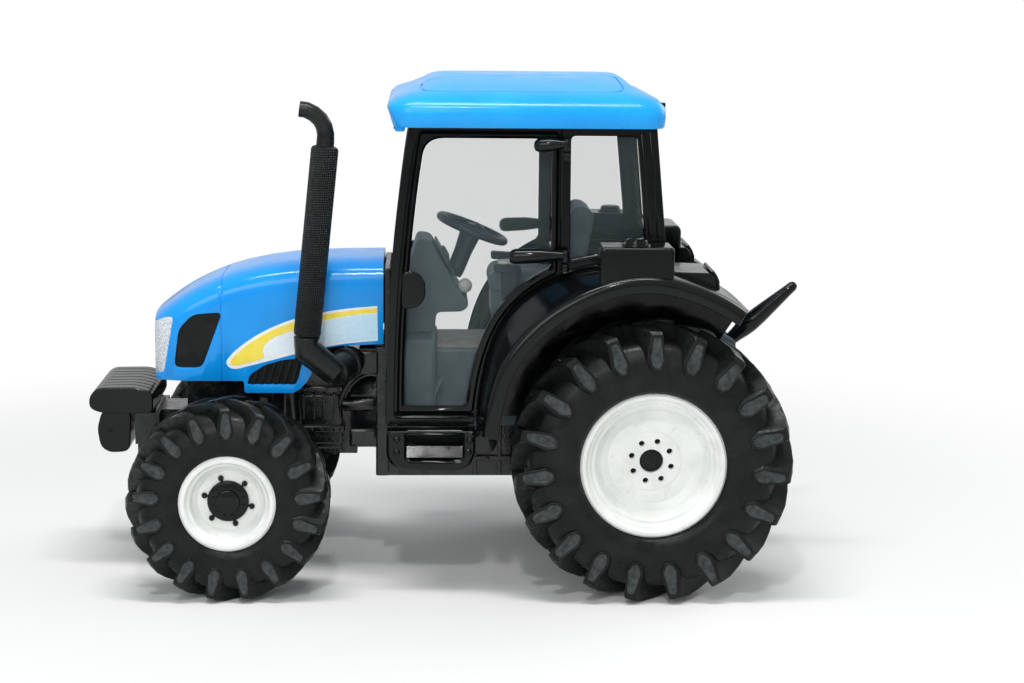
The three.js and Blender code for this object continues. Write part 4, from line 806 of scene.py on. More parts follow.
# Matt black polypropylene with a fine diamond knurl moulded round the shield.
knurled_black, tree, shader, place = finish_of("knurled_black_plastic", 0x0D1111, Roughness=0.42,
                                              Specular_IOR_Level=0.25)
mottle(tree, shader, place, 1.6, 0x0D1111, 0x171C1C)
parts = add_node(tree, "ShaderNodeSeparateXYZ", links={"Vector": place})
slope = (SHIELD_HEAD.x - SHIELD_FOOT.x) / (SHIELD_HEAD.z - SHIELD_FOOT.z)
axis_shift = add_node(tree, "ShaderNodeMath", {"operation": "MULTIPLY_ADD"},
                      {1: -slope, 2: slope * SHIELD_FOOT.z - SHIELD_FOOT.x}, {0: parts.outputs["Z"]})
from_axis = add_node(tree, "ShaderNodeMath", {"operation": "ADD"}, None,
                     {0: parts.outputs["X"], 1: axis_shift.outputs[0]})
from_middle = add_node(tree, "ShaderNodeMath", {"operation": "SUBTRACT"}, {1: SHIELD_FOOT.y}, {0: parts.outputs["Y"]})
turn_round = add_node(tree, "ShaderNodeMath", {"operation": "ARCTAN2"}, None,
                      {0: from_middle.outputs[0], 1: from_axis.outputs[0]})
waves = []
for lean in (1, -1):
    angle_part = add_node(tree, "ShaderNodeMath", {"operation": "MULTIPLY"}, {1: 20.0 * lean},
                          {0: turn_round.outputs[0]})
    wave_place = add_node(tree, "ShaderNodeMath", {"operation": "MULTIPLY_ADD"}, {1: tau / (0.75 * MM)},
                          {0: parts.outputs["Z"], 2: angle_part.outputs[0]})
    waves.append(add_node(tree, "ShaderNodeMath", {"operation": "SINE"}, None, {0: wave_place.outputs[0]}))
diamonds = add_node(tree, "ShaderNodeMath", {"operation": "MULTIPLY"}, None,
                    {0: waves[0].outputs[0], 1: waves[1].outputs[0]})
knurl = add_node(tree, "ShaderNodeBump", inputs={"Strength": 1.0, "Distance": 0.1 * MM},
                 links={"Height": diamonds.outputs[0]})
tree.links.new(knurl.outputs["Normal"], shader.inputs["Normal"])
polish(tree, shader, place, 0.9, 0.38, 0.6)

# The same plastic, plain and slightly polished, in the pipe and the elbow.
plain_black, tree, shader, place = finish_of("satin_black_plastic", 0x0C1010, Roughness=0.3,
                                            Specular_IOR_Level=0.3)
mottle(tree, shader, place, 2.0, 0x0C1010, 0x151A1A)
polish(tree, shader, place, 1.2, 0.22, 0.42)
grain(tree, shader, place, 0.4, 0.02)

step_up = (SHIELD_HEAD - SHIELD_FOOT).normalized() * MM
shield = tube("exhaust_shield", [
    SHIELD_FOOT, SHIELD_FOOT + step_up * 0.15, SHIELD_FOOT + step_up * 0.5, SHIELD_HEAD - step_up * 0.6,
    SHIELD_HEAD - step_up * 0.2, SHIELD_HEAD,
], [1.7, 2.05, SHIELD_RADIUS, SHIELD_RADIUS, 2.02, 1.6], (0, 1, 0), 48)
outlet_route = [SHIELD_HEAD - step_up * 1.0, at(52.2, 15, 72.6), at(52.15, 15, 73.8), at(52.4, 15, 75.0),
                at(53.0, 15, 76.1), at(54.0, 15, 77.0), at(55.2, 15, 77.6), at(56.3, 15, 77.75)]
outlet = tube("exhaust_outlet", outlet_route, [1.42, 1.42, 1.38, 1.36, 1.34, 1.32, 1.3, 1.28], (0, 1, 0), 32)
bpy.ops.object.mode_set(mode="EDIT")
tip_along = (outlet_route[-1] - outlet_route[-2]).normalized()
pick(outlet, lambda corner: (corner - outlet_route[-1]).dot(tip_along) > -0.05 * MM)
bpy.ops.mesh.inset(thickness=0.28 * MM)
bpy.ops.mesh.extrude_region_move(TRANSFORM_OT_translate={"value": tip_along * -2.0 * MM})
done(outlet)
round_edges(outlet, 0.08, 2, 50)
elbow = tube("exhaust_bend", [
    at(55.35, 15, 41.1), at(55.45, 15, 38.9), at(50.6, 14.8, 34.9),
], [2.15, 2.34, 2.12], (0, 1, 0), 32)
round_edges(elbow, 0.12, 2, 40)
flange = rod("exhaust_flange", at(50.9, 14.9, 35.2), at(48.2, 9.2, 36.4), 2.35, 2.35, 32, 0.35)
collar = rod("exhaust_collar", at(49.3, 11.6, 35.9), at(48.95, 10.8, 36.05), 2.75, 2.75, 32, 0.12)
paint(join("exhaust_muffler_look", [shield]), knurled_black, "matt_black", "chassis", "exhaust_muffler")
paint(outlet, plain_black, "matt_black", "chassis")
paint(join("exhaust_elbow_look", [elbow, flange, collar]), plain_black, "matt_black", "chassis", "exhaust_elbow")

# ---- Front weights ----
# Eight suitcase weights side by side on a carrier, moulded as one block of gloss black ABS. The lower part is
# narrower, below a step.

weights_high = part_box("front_weights")[1]
WEIGHTS_FRONT = (weights_high.x - REAR_AXLE.x) / MM
WEIGHTS_TOP = weights_high.z / MM
WEIGHTS_HALF = weights_high.y / MM
SLABS = 8
slab_width = 2 * WEIGHTS_HALF / SLABS
upper = rounded([(WEIGHTS_FRONT - 10.5, 27.2), (WEIGHTS_FRONT - 2, 27.2), (WEIGHTS_FRONT, 28.0),
                 (WEIGHTS_FRONT, WEIGHTS_TOP - 1.6), (WEIGHTS_FRONT - 1.4, WEIGHTS_TOP - 0.1),
                 (WEIGHTS_FRONT - 7.5, WEIGHTS_TOP), (WEIGHTS_FRONT - 10.5, WEIGHTS_TOP - 0.8)], 1.0, 3)
lower = rounded([(WEIGHTS_FRONT - 6.8, 27.4), (WEIGHTS_FRONT - 6.5, 21.2), (WEIGHTS_FRONT - 5.6, 20.5),
                 (WEIGHTS_FRONT - 3, 20.4), (WEIGHTS_FRONT - 1.6, 21.4), (WEIGHTS_FRONT - 1.1, 24.4),
                 (WEIGHTS_FRONT - 1.9, 27.4)], 0.9, 3)
slabs = []
for turn in range(SLABS):
    low = -WEIGHTS_HALF + turn * slab_width
    end = turn in (0, SLABS - 1)
    slabs.append(plate("weight", [upper], low + 0.03, low + slab_width - 0.03, 0.42 if end else 0.3, 3))
    reach = (low + (0.9 if turn == 0 else 0.03), low + slab_width - (0.9 if turn == SLABS - 1 else 0.03))
    slabs.append(plate("weight", [lower], *reach, 0.4 if end else 0.28, 3))
for level, back in ((29.9, 3.4), (29.5, 8.3), (24.2, 3.2)):
    half = WEIGHTS_HALF if level > 27 else WEIGHTS_HALF - 0.9
    slabs.append(rod("pin", at(WEIGHTS_FRONT - back, -half, level), at(WEIGHTS_FRONT - back, half, level),
                     0.42, 0.42, 16))
carrier = box_piece("carrier", (WEIGHTS_FRONT - 10.4, -5.5, 26.4), (WEIGHTS_FRONT - 6.9, 5.5, 27.5), 0.2)
weights = join("front_weights_look", slabs + [carrier])
soften(weights)
paint(weights, gloss_black, "black_plastic", "chassis", "front_weights")

# ---- Engine, gearbox and axles ----
# The chassis is a run of black die castings: front support, engine, clutch housing, gearbox and rear axle. They keep
# the plain forms that carry everything, and the parts that show between the wheels get their ribs, covers and bolts.

# Black paint on die-cast zinc, semi-gloss, thin enough for the casting's skin to show.
cast_black, tree, shader, place = finish_of("painted_zinc_casting", 0x0F1112, Roughness=0.28,
                                           Specular_IOR_Level=0.45)
mottle(tree, shader, place, 3.0, 0x0C0E0F, 0x171A1B)
polish(tree, shader, place, 1.8, 0.12, 0.3)
grain(tree, shader, place, 0.5, 0.035)
for node in ("engine", "transmission", "front_support", "front_axle", "knuckle_left", "knuckle_right", "tie_rod"):
    frame["nodes"][node].material_slots[0].material = cast_black

ribs = [
    box_piece("block", (50.0, 4.8, 21.4), (61.8, 6.9, 31.2), 0.35),
    box_piece("sump_flange", (49.6, 4.6, 23.6), (62.6, 7.6, 24.7), 0.22),
    box_piece("sump", (50.2, 4.2, 20.4), (60.5, 6.4, 23.8), 0.5),
    box_piece("head_flange", (49.8, 4.8, 30.4), (57.4, 7.9, 31.5), 0.25),
    box_piece("side_cover", (50.4, 5.5, 25.8), (56.6, 7.5, 30.0), 0.3),
    box_piece("upper_block", (49.4, 4.0, 31.2), (66.0, 6.9, 36.5), 0.3),
    rod("pump", at(58.6, 7.2, 25.4), at(58.6, 7.2, 31.6), 1.45, 1.35, 24, 0.3),
    rod("pump_cap", at(58.6, 7.2, 31.4), at(58.6, 7.2, 32.8), 1.0, 0.9, 20, 0.2),
    box_piece("pump_flange", (56.4, 5.5, 33.0), (61.2, 8.2, 33.9), 0.25),
    rod("filter", at(62.9, 6.6, 24.6), at(62.9, 6.6, 29.6), 1.0, 1.0, 20, 0.2),
    rod("dipstick", at(56.9, 8.2, 25.2), at(57.3, 8.4, 33.4), 0.22, 0.22, 10),
]
for turn in range(4):
    foot = 51.0 + turn * 1.75
    ribs.append(box_piece("rib", (foot, 7.2, 25.9), (foot + 0.5, 8.0, 30.2), 0.12))
for turn in range(8):
    along = 50.3 + turn * 1.6
    ribs.append(rod("bolt", at(along, 7.3, 24.15), at(along, 8.0, 24.15), 0.36, 0.3, 8, 0.06))
for turn in range(4):
    ribs.append(rod("bolt", at(50.6 + turn * 1.9, 7.7, 30.95), at(50.6 + turn * 1.9, 8.2, 30.95), 0.34, 0.28, 8, 0.06))
for reach, radius in ((8.9, 0.42), (8.2, 0.3)):
    arc = [at(45.2 + reach * 0.62 * sin(radians(turn)), 8.35, 25.4 + reach * cos(radians(turn)))
           for turn in range(70, -11, -10)]
    ribs.append(tube("housing_rib", arc, [radius] * len(arc), (0, 1, 0), 12))
ribs.append(box_piece("housing_lid", (43.9, 6.0, 33.6), (47.6, 8.8, 37.6), 0.4))
ribs.append(box_piece("starter", (44.2, 7.2, 21.4), (48.8, 9.2, 24.6), 0.5))
ribs.append(rod("starter_motor", at(44.6, 8.2, 28.6), at(50.0, 8.2, 28.6), 1.3, 1.2, 20, 0.25))
ribs.append(box_piece("clutch_flange", (42.3, 3.0, 16.4), (44.4, 8.6, 38.4), 0.3))
ribs.append(box_piece("bulkhead_seal", (41.9, -0.2, 38.0), (43.0, 10.3, 51.6), 0.2))
ribs.append(box_piece("gearbox_rail", (6.0, 6.2, 18.6), (42.4, 7.0, 19.5), 0.2))
ribs.append(box_piece("gearbox_rail", (6.0, 6.2, 24.6), (42.4, 7.0, 25.3), 0.2))
for turn in range(9):
    foot = 7.0 + turn * 4.1
    ribs.append(box_piece("gearbox_rib", (foot, 6.2, 16.1), (foot + 0.7, 6.9, 25.2), 0.15))
    ribs.append(rod("bolt", at(foot + 2.3, 6.9, 19.05), at(foot + 2.3, 7.4, 19.05), 0.4, 0.32, 6, 0.06))
ribs.append(rod("side_cover", at(26.5, 6.2, 22.0), at(26.5, 7.2, 22.0), 2.4, 2.3, 32, 0.2))
near_side = join("engine_side_left", ribs)
soften(near_side)
far_side = mirror(near_side, "engine_side_right")
paint(near_side, cast_black, "black_casting", "chassis")
paint(far_side, cast_black, "black_casting", "chassis")

KINGPIN_AHEAD = 67.5
KINGPIN_OUT = 15.2
CAP_HALF = 0.35
axle_parts = []
for side in (-1, 1):
    for z in (19.9, 12.5):
        axle_parts.append(rod("kingpin_cap", at(KINGPIN_AHEAD, side * KINGPIN_OUT, z - CAP_HALF),
                              at(KINGPIN_AHEAD, side * KINGPIN_OUT, z + CAP_HALF), 1.25, 1.1, 16, 0.15))
    axle_parts.append(box_piece("beam_rib", (66.9, min(side * 3.5, side * 12.6), 17.6),
                                (68.1, max(side * 3.5, side * 12.6), 18.3), 0.15))
axle_look = join("front_axle_ribs", axle_parts)
soften(axle_look)
paint(axle_look, cast_black, "black_casting", "chassis")

rear_parts = [
    rod("axle_cover", at(-9.0, 0, 22.5), at(-10.0, 0, 22.5), 4.2, 3.9, 32, 0.3),
    box_piece("rear_cover", (-9.6, -5.4, 17.4), (-8.9, 5.4, 28.8), 0.25),
    box_piece("pto_guard", (-11.6, -2.6, 19.6), (-9.0, 2.6, 20.4), 0.2),
    rod("pto_shaft", at(-9.2, 0, 18.3), at(-12.0, 0, 18.3), 0.7, 0.7, 12, 0.08),
]
for turn in range(8):
    angle = tau * (turn + 0.5) / 8
    spot = at(-10.0, 3.2 * cos(angle), 22.5 + 3.2 * sin(angle))
    rear_parts.append(rod("bolt", spot, spot + Vector((-0.4 * MM, 0, 0)), 0.38, 0.3, 6, 0.05))
rear_look = join("rear_axle_cover", rear_parts)
soften(rear_look)
paint(rear_look, cast_black, "black_casting", "chassis")

# ---- Fenders ----
# Each fender is one gloss black ABS moulding that the cab sits between: a broad crown that slopes out to a ridge and
# turns down in a lip. A box with a round cap stands on it, and a shelf behind the cab joins it to the rear.

CAB_HALF = 19.7
FENDER_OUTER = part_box("fender_left")[1].y / MM
FENDER_INNER = 13.4
FENDER_SHEET = 1.3
BOX_TOP = 57.4
AT_CAB = [(10, 6), (23, 7.3), (44, 10.1), (60, 10.5), (75, 9.5), (90, 8.2), (102, 7), (113, 6.9), (123, 6)]
AT_LIP = [(10, 5), (23, 5.9), (36, 7), (60, 7.6), (85, 7.9), (102, 7), (112, 6.4), (119.5, 6)]


def arch(points, share, rise=0.0):
    """A place on a fender's crest: share runs from the front foot to the tail, and the result is (x, z)."""
    line = flowing(points, 24)
    spot = share * (len(line) - 1)
    first = min(int(spot), len(line) - 2)
    turn, height = (a + (b - a) * (spot - first) for a, b in zip(line[first], line[first + 1]))
    radius = REAR_TYRE_RADIUS + height + rise
    return radius * cos(radians(turn)), REAR_TYRE_RADIUS + radius * sin(radians(turn))


def crest_line(points, rise, first=0.0, last=1.0, steps=40):
    return [arch(points, first + (last - first) * step / steps, rise) for step in range(steps + 1)]


def fender_section(share):
    """The fender's cross-section at one place along it, from the inner edge over the crown to the lip and back."""
    lip = FENDER_OUTER
    profile = [(FENDER_INNER, 0.0, 0.0), (CAB_HALF + 0.2, 0.0, 0.0), (21.5, 0.2, 0.05), (23.2, 0.42, 0.12),
               (25.0, 0.66, 0.2), (26.4, 0.86, 0.2), (27.3, 0.97, 0.1), (27.9, 1.0, -0.12), (lip - 0.06, 1.0, -0.5),
               (lip, 1.0, -1.0), (lip, 1.0, -2.15), (lip - 0.12, 1.0, -2.4), (lip - 0.5, 1.0, -2.5),
               (lip - 1.0, 1.0, -2.4), (lip - 1.1, 1.0, -2.1), (27.0, 0.96, -1.3), (25.0, 0.66, -1.25),
               (22.0, 0.25, -1.3), (CAB_HALF, 0.0, -FENDER_SHEET), (FENDER_INNER, 0.0, -FENDER_SHEET)]
    section = []
    for y, outward, rise in profile:
        at_cab, at_lip = arch(AT_CAB, share, rise), arch(AT_LIP, share, rise)
        section.append(at(at_cab[0] + (at_lip[0] - at_cab[0]) * outward, y,
                          at_cab[1] + (at_lip[1] - at_cab[1]) * outward))
    return section


fender = loft("fender_left_look", [fender_section(step / 44) for step in range(45)], 50)
round_edges(fender, 0.12, 2, 50)
wall = plate("fender_wall", [crest_line(AT_CAB, -0.6) + [(0, REAR_TYRE_RADIUS)]], FENDER_INNER, FENDER_INNER + 1.2)
cut(wall, plate("wall_foot", [[(-30, REAR_TYRE_RADIUS + 23), (-9, REAR_TYRE_RADIUS + 8.5),
                               (6, REAR_TYRE_RADIUS + 8.5), (20, 28), (40, 27.6), (40, 0), (-30, 0)]], 0, 40))
tool_box = plate("fender_box", [rounded([(-2.6, 51.4), (9.0, 50.6), (9.0, BOX_TOP), (-2.6, BOX_TOP)], 0.7, 4)],
                 CAB_HALF + 0.7, FENDER_OUTER - 0.8, 0.6, 4)
knob = spun("cap", [(0, 0.0), (1.35, 0.0), (1.62, -0.12), (1.75, -0.4), (1.8, -1.2), (0, -1.2)], Vector((0, 0, 0)),
            steps=32, closed=False)
knob.data.transform(Matrix.Rotation(radians(90), 4, "X"))
knob.data.transform(Matrix.Translation(at(3.1, 24, BOX_TOP + 1.0)))
knob_ring = spun("cap_ring", [(1.8, 0.0), (2.15, -0.05), (2.25, -0.3), (2.25, -0.6), (1.8, -0.6)],
                 Vector((0, 0, 0)), steps=32)
knob_ring.data.transform(Matrix.Rotation(radians(90), 4, "X"))
knob_ring.data.transform(Matrix.Translation(at(3.1, 24, BOX_TOP + 0.3)))
shelf = plate("shelf", [rounded([(-3.1, 49.9), (-10.05, 48.5), (-9.95, 51.4), (-9.2, 52.6), (-3.1, 52.8)], 0.6, 3)],
              10, 21.6, 0.3, 3)
shelf_skirt = plate("shelf_skirt", [[(-3.3, 50.2), (-9.9, 49.0), (-9.9, 48.4), (-3.3, 48.6)]], 10.2, 21.4, 0.1)
rim_line = plate("rim_bead", [flowing([(-9.6, 53.0), (-10.3, 51.9), (-10.6, 50.6), (-10.6, 48.2), (-10.1, 48.2),
                                       (-10.1, 50.6), (-9.8, 51.7), (-9.2, 52.7)], 3)], 11.0, 21.2, 0.12)
lamp = plate("rear_lamp", [rounded([(-10.3, 49.0), (-10.75, 49.0), (-10.75, 51.2), (-10.3, 51.2)], 0.2, 2)],
             12.0, 20.0, 0.1)
common = [wall, tool_box, knob, knob_ring, shelf, shelf_skirt, rim_line, lamp]
left_fender = join("fender_left_look", [fender] + common)
soften(left_fender, 40)
right_fender = mirror(left_fender, "fender_right_look")
housing = plate("right_housing", [rounded([(-3.1, 50), (-8.1, 50), (-8.1, 56.4), (-3.1, 56.4)], 1.1, 4)],
                -21.6, -10, 0.4, 3)
right_fender = join("fender_right_look", [right_fender, housing])
soften(right_fender, 40)
paint(left_fender, gloss_black, "black_plastic", "chassis", "fender_left")
paint(right_fender, gloss_black, "black_plastic", "chassis", "fender_right")

# ---- Cab frame ----
# Gloss black ABS: two side frames with the door opening and a quarter window, and a front and a rear frame set
# between them. Each side's foot follows the fender.

SILL = 27.6
EAVES = 75.1
FRAME_TOP = 76.9
CAB_FRONT = 42.6
CAB_WALL = 1.4
SIDE_INNER = CAB_HALF - CAB_WALL
DOOR_REAR = 15.2
DOOR_BOTTOM = 29.4
DOOR_TOP = 74.7
SWING_GAP = 0.4
HINGE_X = DOOR_REAR - 1.1
HINGE_Y = 21.8


def front_edge(z):
    return CAB_FRONT - 3.6 * max(0, (z - SILL) / (EAVES - SILL)) ** 2.2


def rear_edge(z):
    return -0.3 - 0.095 * (EAVES - z)


def front_line(inset, low, high, steps=14):
    return [(front_edge(low + (high - low) * step / steps) - inset, low + (high - low) * step / steps)
            for step in range(steps + 1)]


def door_outline(inset, corner):
    """The door's outline, moved in by an inset, with its upper corners rounded."""
    front = front_line(1.4 + SWING_GAP + inset, DOOR_BOTTOM + inset, DOOR_TOP - inset)
    rear = DOOR_REAR + inset
    curve = [spot for spot in crest_line(AT_CAB, SWING_GAP + inset * 1.25, 0, 0.62, 60)
             if spot[0] > rear + 0.3 and spot[1] > DOOR_BOTTOM + inset + 0.3]
    curve.reverse()
    radius = hypot(curve[0][0], curve[0][1] - REAR_TYRE_RADIUS)
    rear_foot = REAR_TYRE_RADIUS + sqrt(radius ** 2 - rear ** 2)
    head = rounded([front[-3], front[-1], (rear, DOOR_TOP - inset), (rear, DOOR_TOP - inset - 5)], corner, 6)
    head = head[7:-7]
    return front[:-2] + head + [(rear, rear_foot)] + curve + [(curve[-1][0] + 0.3, DOOR_BOTTOM + inset)]


side_outline = (front_line(0, SILL, EAVES) + [(front_edge(EAVES), FRAME_TOP), (rear_edge(EAVES), FRAME_TOP),
                (rear_edge(EAVES), EAVES), (rear_edge(52), 52), (0, REAR_TYRE_RADIUS), (26, REAR_TYRE_RADIUS),
                (26, SILL)])
doorway = (front_line(1.4, DOOR_BOTTOM - SWING_GAP, DOOR_TOP + SWING_GAP)
           + [(DOOR_REAR - SWING_GAP, DOOR_TOP + SWING_GAP), (DOOR_REAR - SWING_GAP, 45), (20, 30),
              (27, DOOR_BOTTOM - SWING_GAP)])
QUARTER_FRONT = DOOR_REAR - SWING_GAP - 1.5


def quarter_outline(inset, corner):
    foot = [spot for spot in crest_line(AT_CAB, 1.9 + inset, 0.35, 0.85, 30)
            if rear_edge(57) + 3.2 + inset + 0.3 < spot[0] < QUARTER_FRONT - inset - 0.3]
    top = DOOR_TOP - 0.6 - inset
    rear_top = rear_edge(DOOR_TOP) + 3.2 + inset
    rear_foot = rear_edge(foot[-1][1]) + 3.2 + inset
    return rounded([(QUARTER_FRONT - inset, top), (QUARTER_FRONT - inset, foot[0][1] - 0.2)] + foot
                   + [(rear_foot, foot[-1][1]), (rear_top, top)], corner, 4)


cab_side = plate("cab_side", [side_outline], SIDE_INNER, CAB_HALF)
cut(cab_side, plate("doorway", [doorway], 10, 30))
cut(cab_side, plate("quarter", [quarter_outline(0, 0.8)], 10, 30))
cut(cab_side, plate("arch", [crest_line(AT_CAB, 0.3) + [(0, REAR_TYRE_RADIUS)]], 10, 30))
cut(cab_side, plate("arch_foot", [[(-5, 0), (27.9, 0), (27.9, 28.2), (-5, REAR_TYRE_RADIUS + 6)]], 10, 30))
round_edges(cab_side, 0.32, 1, 40)
quarter_rib = plate("pillar_rib", [[(rear_edge(z) + shift, z) for z, shift in
                                    ((58, 0.75), (EAVES, 0.75), (EAVES, 1.35), (58, 1.35))]],
                    CAB_HALF - 0.3, CAB_HALF + 0.22, 0.15)
quarter_rib_2 = plate("pillar_rib", [[(rear_edge(z) + shift, z) for z, shift in
                                      ((58, 2.15), (EAVES - 0.5, 2.15), (EAVES - 0.5, 2.7), (58, 2.7))]],
                      CAB_HALF - 0.3, CAB_HALF + 0.18, 0.15)
sill_beads = [plate("sill_bead", [crest_line(AT_CAB, rise, 0.37, 0.78, 30)
                                  + list(reversed(crest_line(AT_CAB, rise + 0.35, 0.37, 0.78, 30)))],
                    CAB_HALF - 0.2, CAB_HALF + 0.2, 0.1) for rise in (0.55, 1.3)]
for bead in sill_beads:
    cut(bead, box_piece("ahead", (QUARTER_FRONT - 0.2, 10, 30), (40, 30, 80)))
    cut(bead, box_piece("behind", (-30, 10, 30), (rear_edge(57) + 1.0, 30, 80)))
door_seal = plate("door_seal", [door_outline(-0.9, 1.2), door_outline(0.75, 1.6)], SIDE_INNER - 0.8, SIDE_INNER - 0.1)
sill_lip = plate("sill_lip", [[(28.8, DOOR_BOTTOM - 0.8), (41.2, DOOR_BOTTOM - 0.8), (41.2, DOOR_BOTTOM - 0.25),
                               (28.8, DOOR_BOTTOM - 0.25)]], CAB_HALF - 0.3, CAB_HALF + 0.35, 0.28, 1)
cab_parts = [cab_side, quarter_rib, quarter_rib_2, door_seal, sill_lip] + sill_beads
for z in (72.4, 54.8):
    low, high = z - 2.0, z - 0.8
    cab_parts.append(box_piece("hinge_leaf", (HINGE_X - 0.6, CAB_HALF - 0.4, low), (HINGE_X + 0.6, HINGE_Y, high),
                               0.15))
    cab_parts.append(rod("hinge_barrel", at(HINGE_X, HINGE_Y, low), at(HINGE_X, HINGE_Y, high), 0.62, 0.62, 20, 0.1))
left_side = join("cab_side_left_look", cab_parts)
soften(left_side, 40)
right_side = mirror(left_side, "cab_side_right_look")
paint(left_side, gloss_black, "black_plastic", "chassis", "cab_side_left")
paint(right_side, gloss_black, "black_plastic", "chassis", "cab_side_right")


def leaning(name, edge, wall, low, high, near, far, steps=14):
    """A panel across the cab that follows its leaning front or rear edge."""
    heights = [low + (high - low) * step / steps for step in range(steps + 1)]
    return plate(name, [[(edge(z), z) for z in heights] + [(edge(z) + wall, z) for z in reversed(heights)]], near, far)


FRAME_HALF = SIDE_INNER - 0.3
front_frame = leaning("front_frame_look", front_edge, -CAB_WALL, SILL, FRAME_TOP, -FRAME_HALF, FRAME_HALF)
cut(front_frame, leaning("windscreen_hole", lambda z: front_edge(z) + 2, -6, 51.5, 73.9, -FRAME_HALF + 1.5,
                         FRAME_HALF - 1.5))
round_edges(front_frame, 0.25, 3, 40)
paint(front_frame, gloss_black, "black_plastic", "chassis", "front_frame")

rear_frame = leaning("rear_frame_look", rear_edge, CAB_WALL, 54.8, FRAME_TOP, -FRAME_HALF, FRAME_HALF)
cut(rear_frame, leaning("rear_window_hole", lambda z: rear_edge(z) - 2, 6, 57, 73.9, -FRAME_HALF + 1.5,
                        FRAME_HALF - 1.5))
round_edges(rear_frame, 0.25, 3, 40)
rear_board = leaning("rear_board", rear_edge, CAB_WALL, 49.5, 55.0, -12.9, 12.9)
round_edges(rear_board, 0.2, 2, 40)
rear_hinges = [rod("window_hinge", at(rear_edge(74.4) - 0.35, side * 9 - 1.4, 74.4),
                   at(rear_edge(74.4) - 0.35, side * 9 + 1.4, 74.4), 0.5, 0.5, 16, 0.12) for side in (-1, 1)]
rear_handle = box_piece("window_handle", (rear_edge(58) - 0.7, -2.2, 57.4), (rear_edge(58) + 0.3, 2.2, 58.2), 0.2)
rear_frame = join("rear_frame_look", [rear_frame, rear_board, rear_handle] + rear_hinges)
soften(rear_frame, 40)
paint(rear_frame, gloss_black, "black_plastic", "chassis", "rear_frame")

# ---- Doors ----
# A thin gloss black frame round a clear pane, hung at its rear edge on two long hinge arms, with a D-shaped latch box
# on its front bar. Both doors open.

door_frame = plate("door_frame", [door_outline(0, 0.8)], SIDE_INNER, CAB_HALF)
cut(door_frame, plate("pane_hole", [door_outline(1.1, 3.0)], 10, 30))
round_edges(door_frame, 0.42, 1, 40, False)
door_parts = [door_frame]
for z, reach, end_radius in ((72.4, 4.7, 1.15), (54.8, 8.5, 1.25)):
    door_parts.append(rod("barrel", at(HINGE_X, HINGE_Y, z - 0.5), at(HINGE_X, HINGE_Y, z + 1.4), 0.62, 0.62, 20, 0.1))
    route = [at(HINGE_X - 0.1, HINGE_Y, z + 0.55), at(HINGE_X + 0.8, HINGE_Y - 0.05, z + 0.55),
             at(HINGE_X + reach * 0.5, HINGE_Y - 0.25, z + 0.5), at(HINGE_X + reach - 0.7, HINGE_Y - 0.5, z + 0.35),
             at(HINGE_X + reach - 0.15, HINGE_Y - 0.6, z + 0.25), at(HINGE_X + reach + 0.3, HINGE_Y - 0.65, z + 0.2),
             at(HINGE_X + reach + 0.5, HINGE_Y - 0.7, z + 0.2)]
    door_parts.append(tube("hinge_arm", route, [0.62, 0.72, end_radius - 0.08, end_radius, end_radius - 0.12,
                                                end_radius - 0.42, 0.12], (0, 1, 0), 24))
    door_parts.append(box_piece("hinge_foot", (DOOR_REAR + 0.1, CAB_HALF - 0.5, z - 0.2),
                                (DOOR_REAR + 1.0, HINGE_Y - 0.2, z + 1.1), 0.15))
latch_front = front_edge(50) - 2
door_parts.append(plate("latch", [rounded([(latch_front + 0.1, 46.4), (latch_front - 2.6, 46.8),
                                           (latch_front - 3.7, 48.4), (latch_front - 3.6, 51.2),
                                           (latch_front - 2.2, 52.4), (latch_front + 0.1, 52.6)], 1.0, 4)],
                        CAB_HALF - 1, CAB_HALF + 0.9, 0.32, 3))
left_door = join("door_frame_left_look", door_parts)
soften(left_door, 40)
right_door = mirror(left_door, "door_frame_right_look")
paint(left_door, gloss_black, "black_plastic", "door_left", "door_frame_left")
paint(right_door, gloss_black, "black_plastic", "door_right", "door_frame_right")

# ---- Window panes ----
# Clear polystyrene, injection moulded and pressed into the frames, a little hazy and grey-green.

clear_styrene, tree, shader, place = finish_of("clear_styrene", 0x6F7F80, Roughness=0.05, IOR=1.5, Alpha=0.11)
polish(tree, shader, place, 6.0, 0.03, 0.1)


def pane_pair(name, outline, low, high, body):
    for side, label in ((1, "left"), (-1, "right")):
        pane = plate(f"{name}_{label}_look", [outline], *across(side, low, high), 0.08, 1)
        paint(pane, clear_styrene, "clear_styrene", body.format(label), f"{name}_{label}")


pane_pair("door_glass", door_outline(1.25, 2.9), SIDE_INNER + 0.15, SIDE_INNER + 0.75, "door_{}")
pane_pair("quarter_glass", quarter_outline(0.2, 0.7), SIDE_INNER + 0.15, SIDE_INNER + 0.75, "chassis")
for name, edge, shift, wall, foot in (("windscreen", front_edge, -0.35, -0.6, 51.5),
                                      ("rear_window", rear_edge, 0.35, 0.6, 57)):
    pane = leaning(name + "_look", lambda z: edge(z) + shift, wall, foot + 0.15, 73.75, -FRAME_HALF + 1.65,
                   FRAME_HALF - 1.65)
    round_edges(pane, 0.08, 1, 40)
    paint(pane, clear_styrene, "clear_styrene", "chassis", name)

# ---- Roof ----
# One blue ABS moulding with gloss skin: a low crowned shell with a hatch outline in its top, and a visor under its
# front edge that carries a work lamp at each end, both in the same blue; the lamps' lenses are black ABS.

ROOF_LOW, ROOF_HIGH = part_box("roof")
ROOF_REAR = (ROOF_LOW.x - REAR_AXLE.x) / MM
ROOF_FRONT = (ROOF_HIGH.x - REAR_AXLE.x) / MM
ROOF_HALF = ROOF_HIGH.y / MM
ROOF_FOOT = 75.4

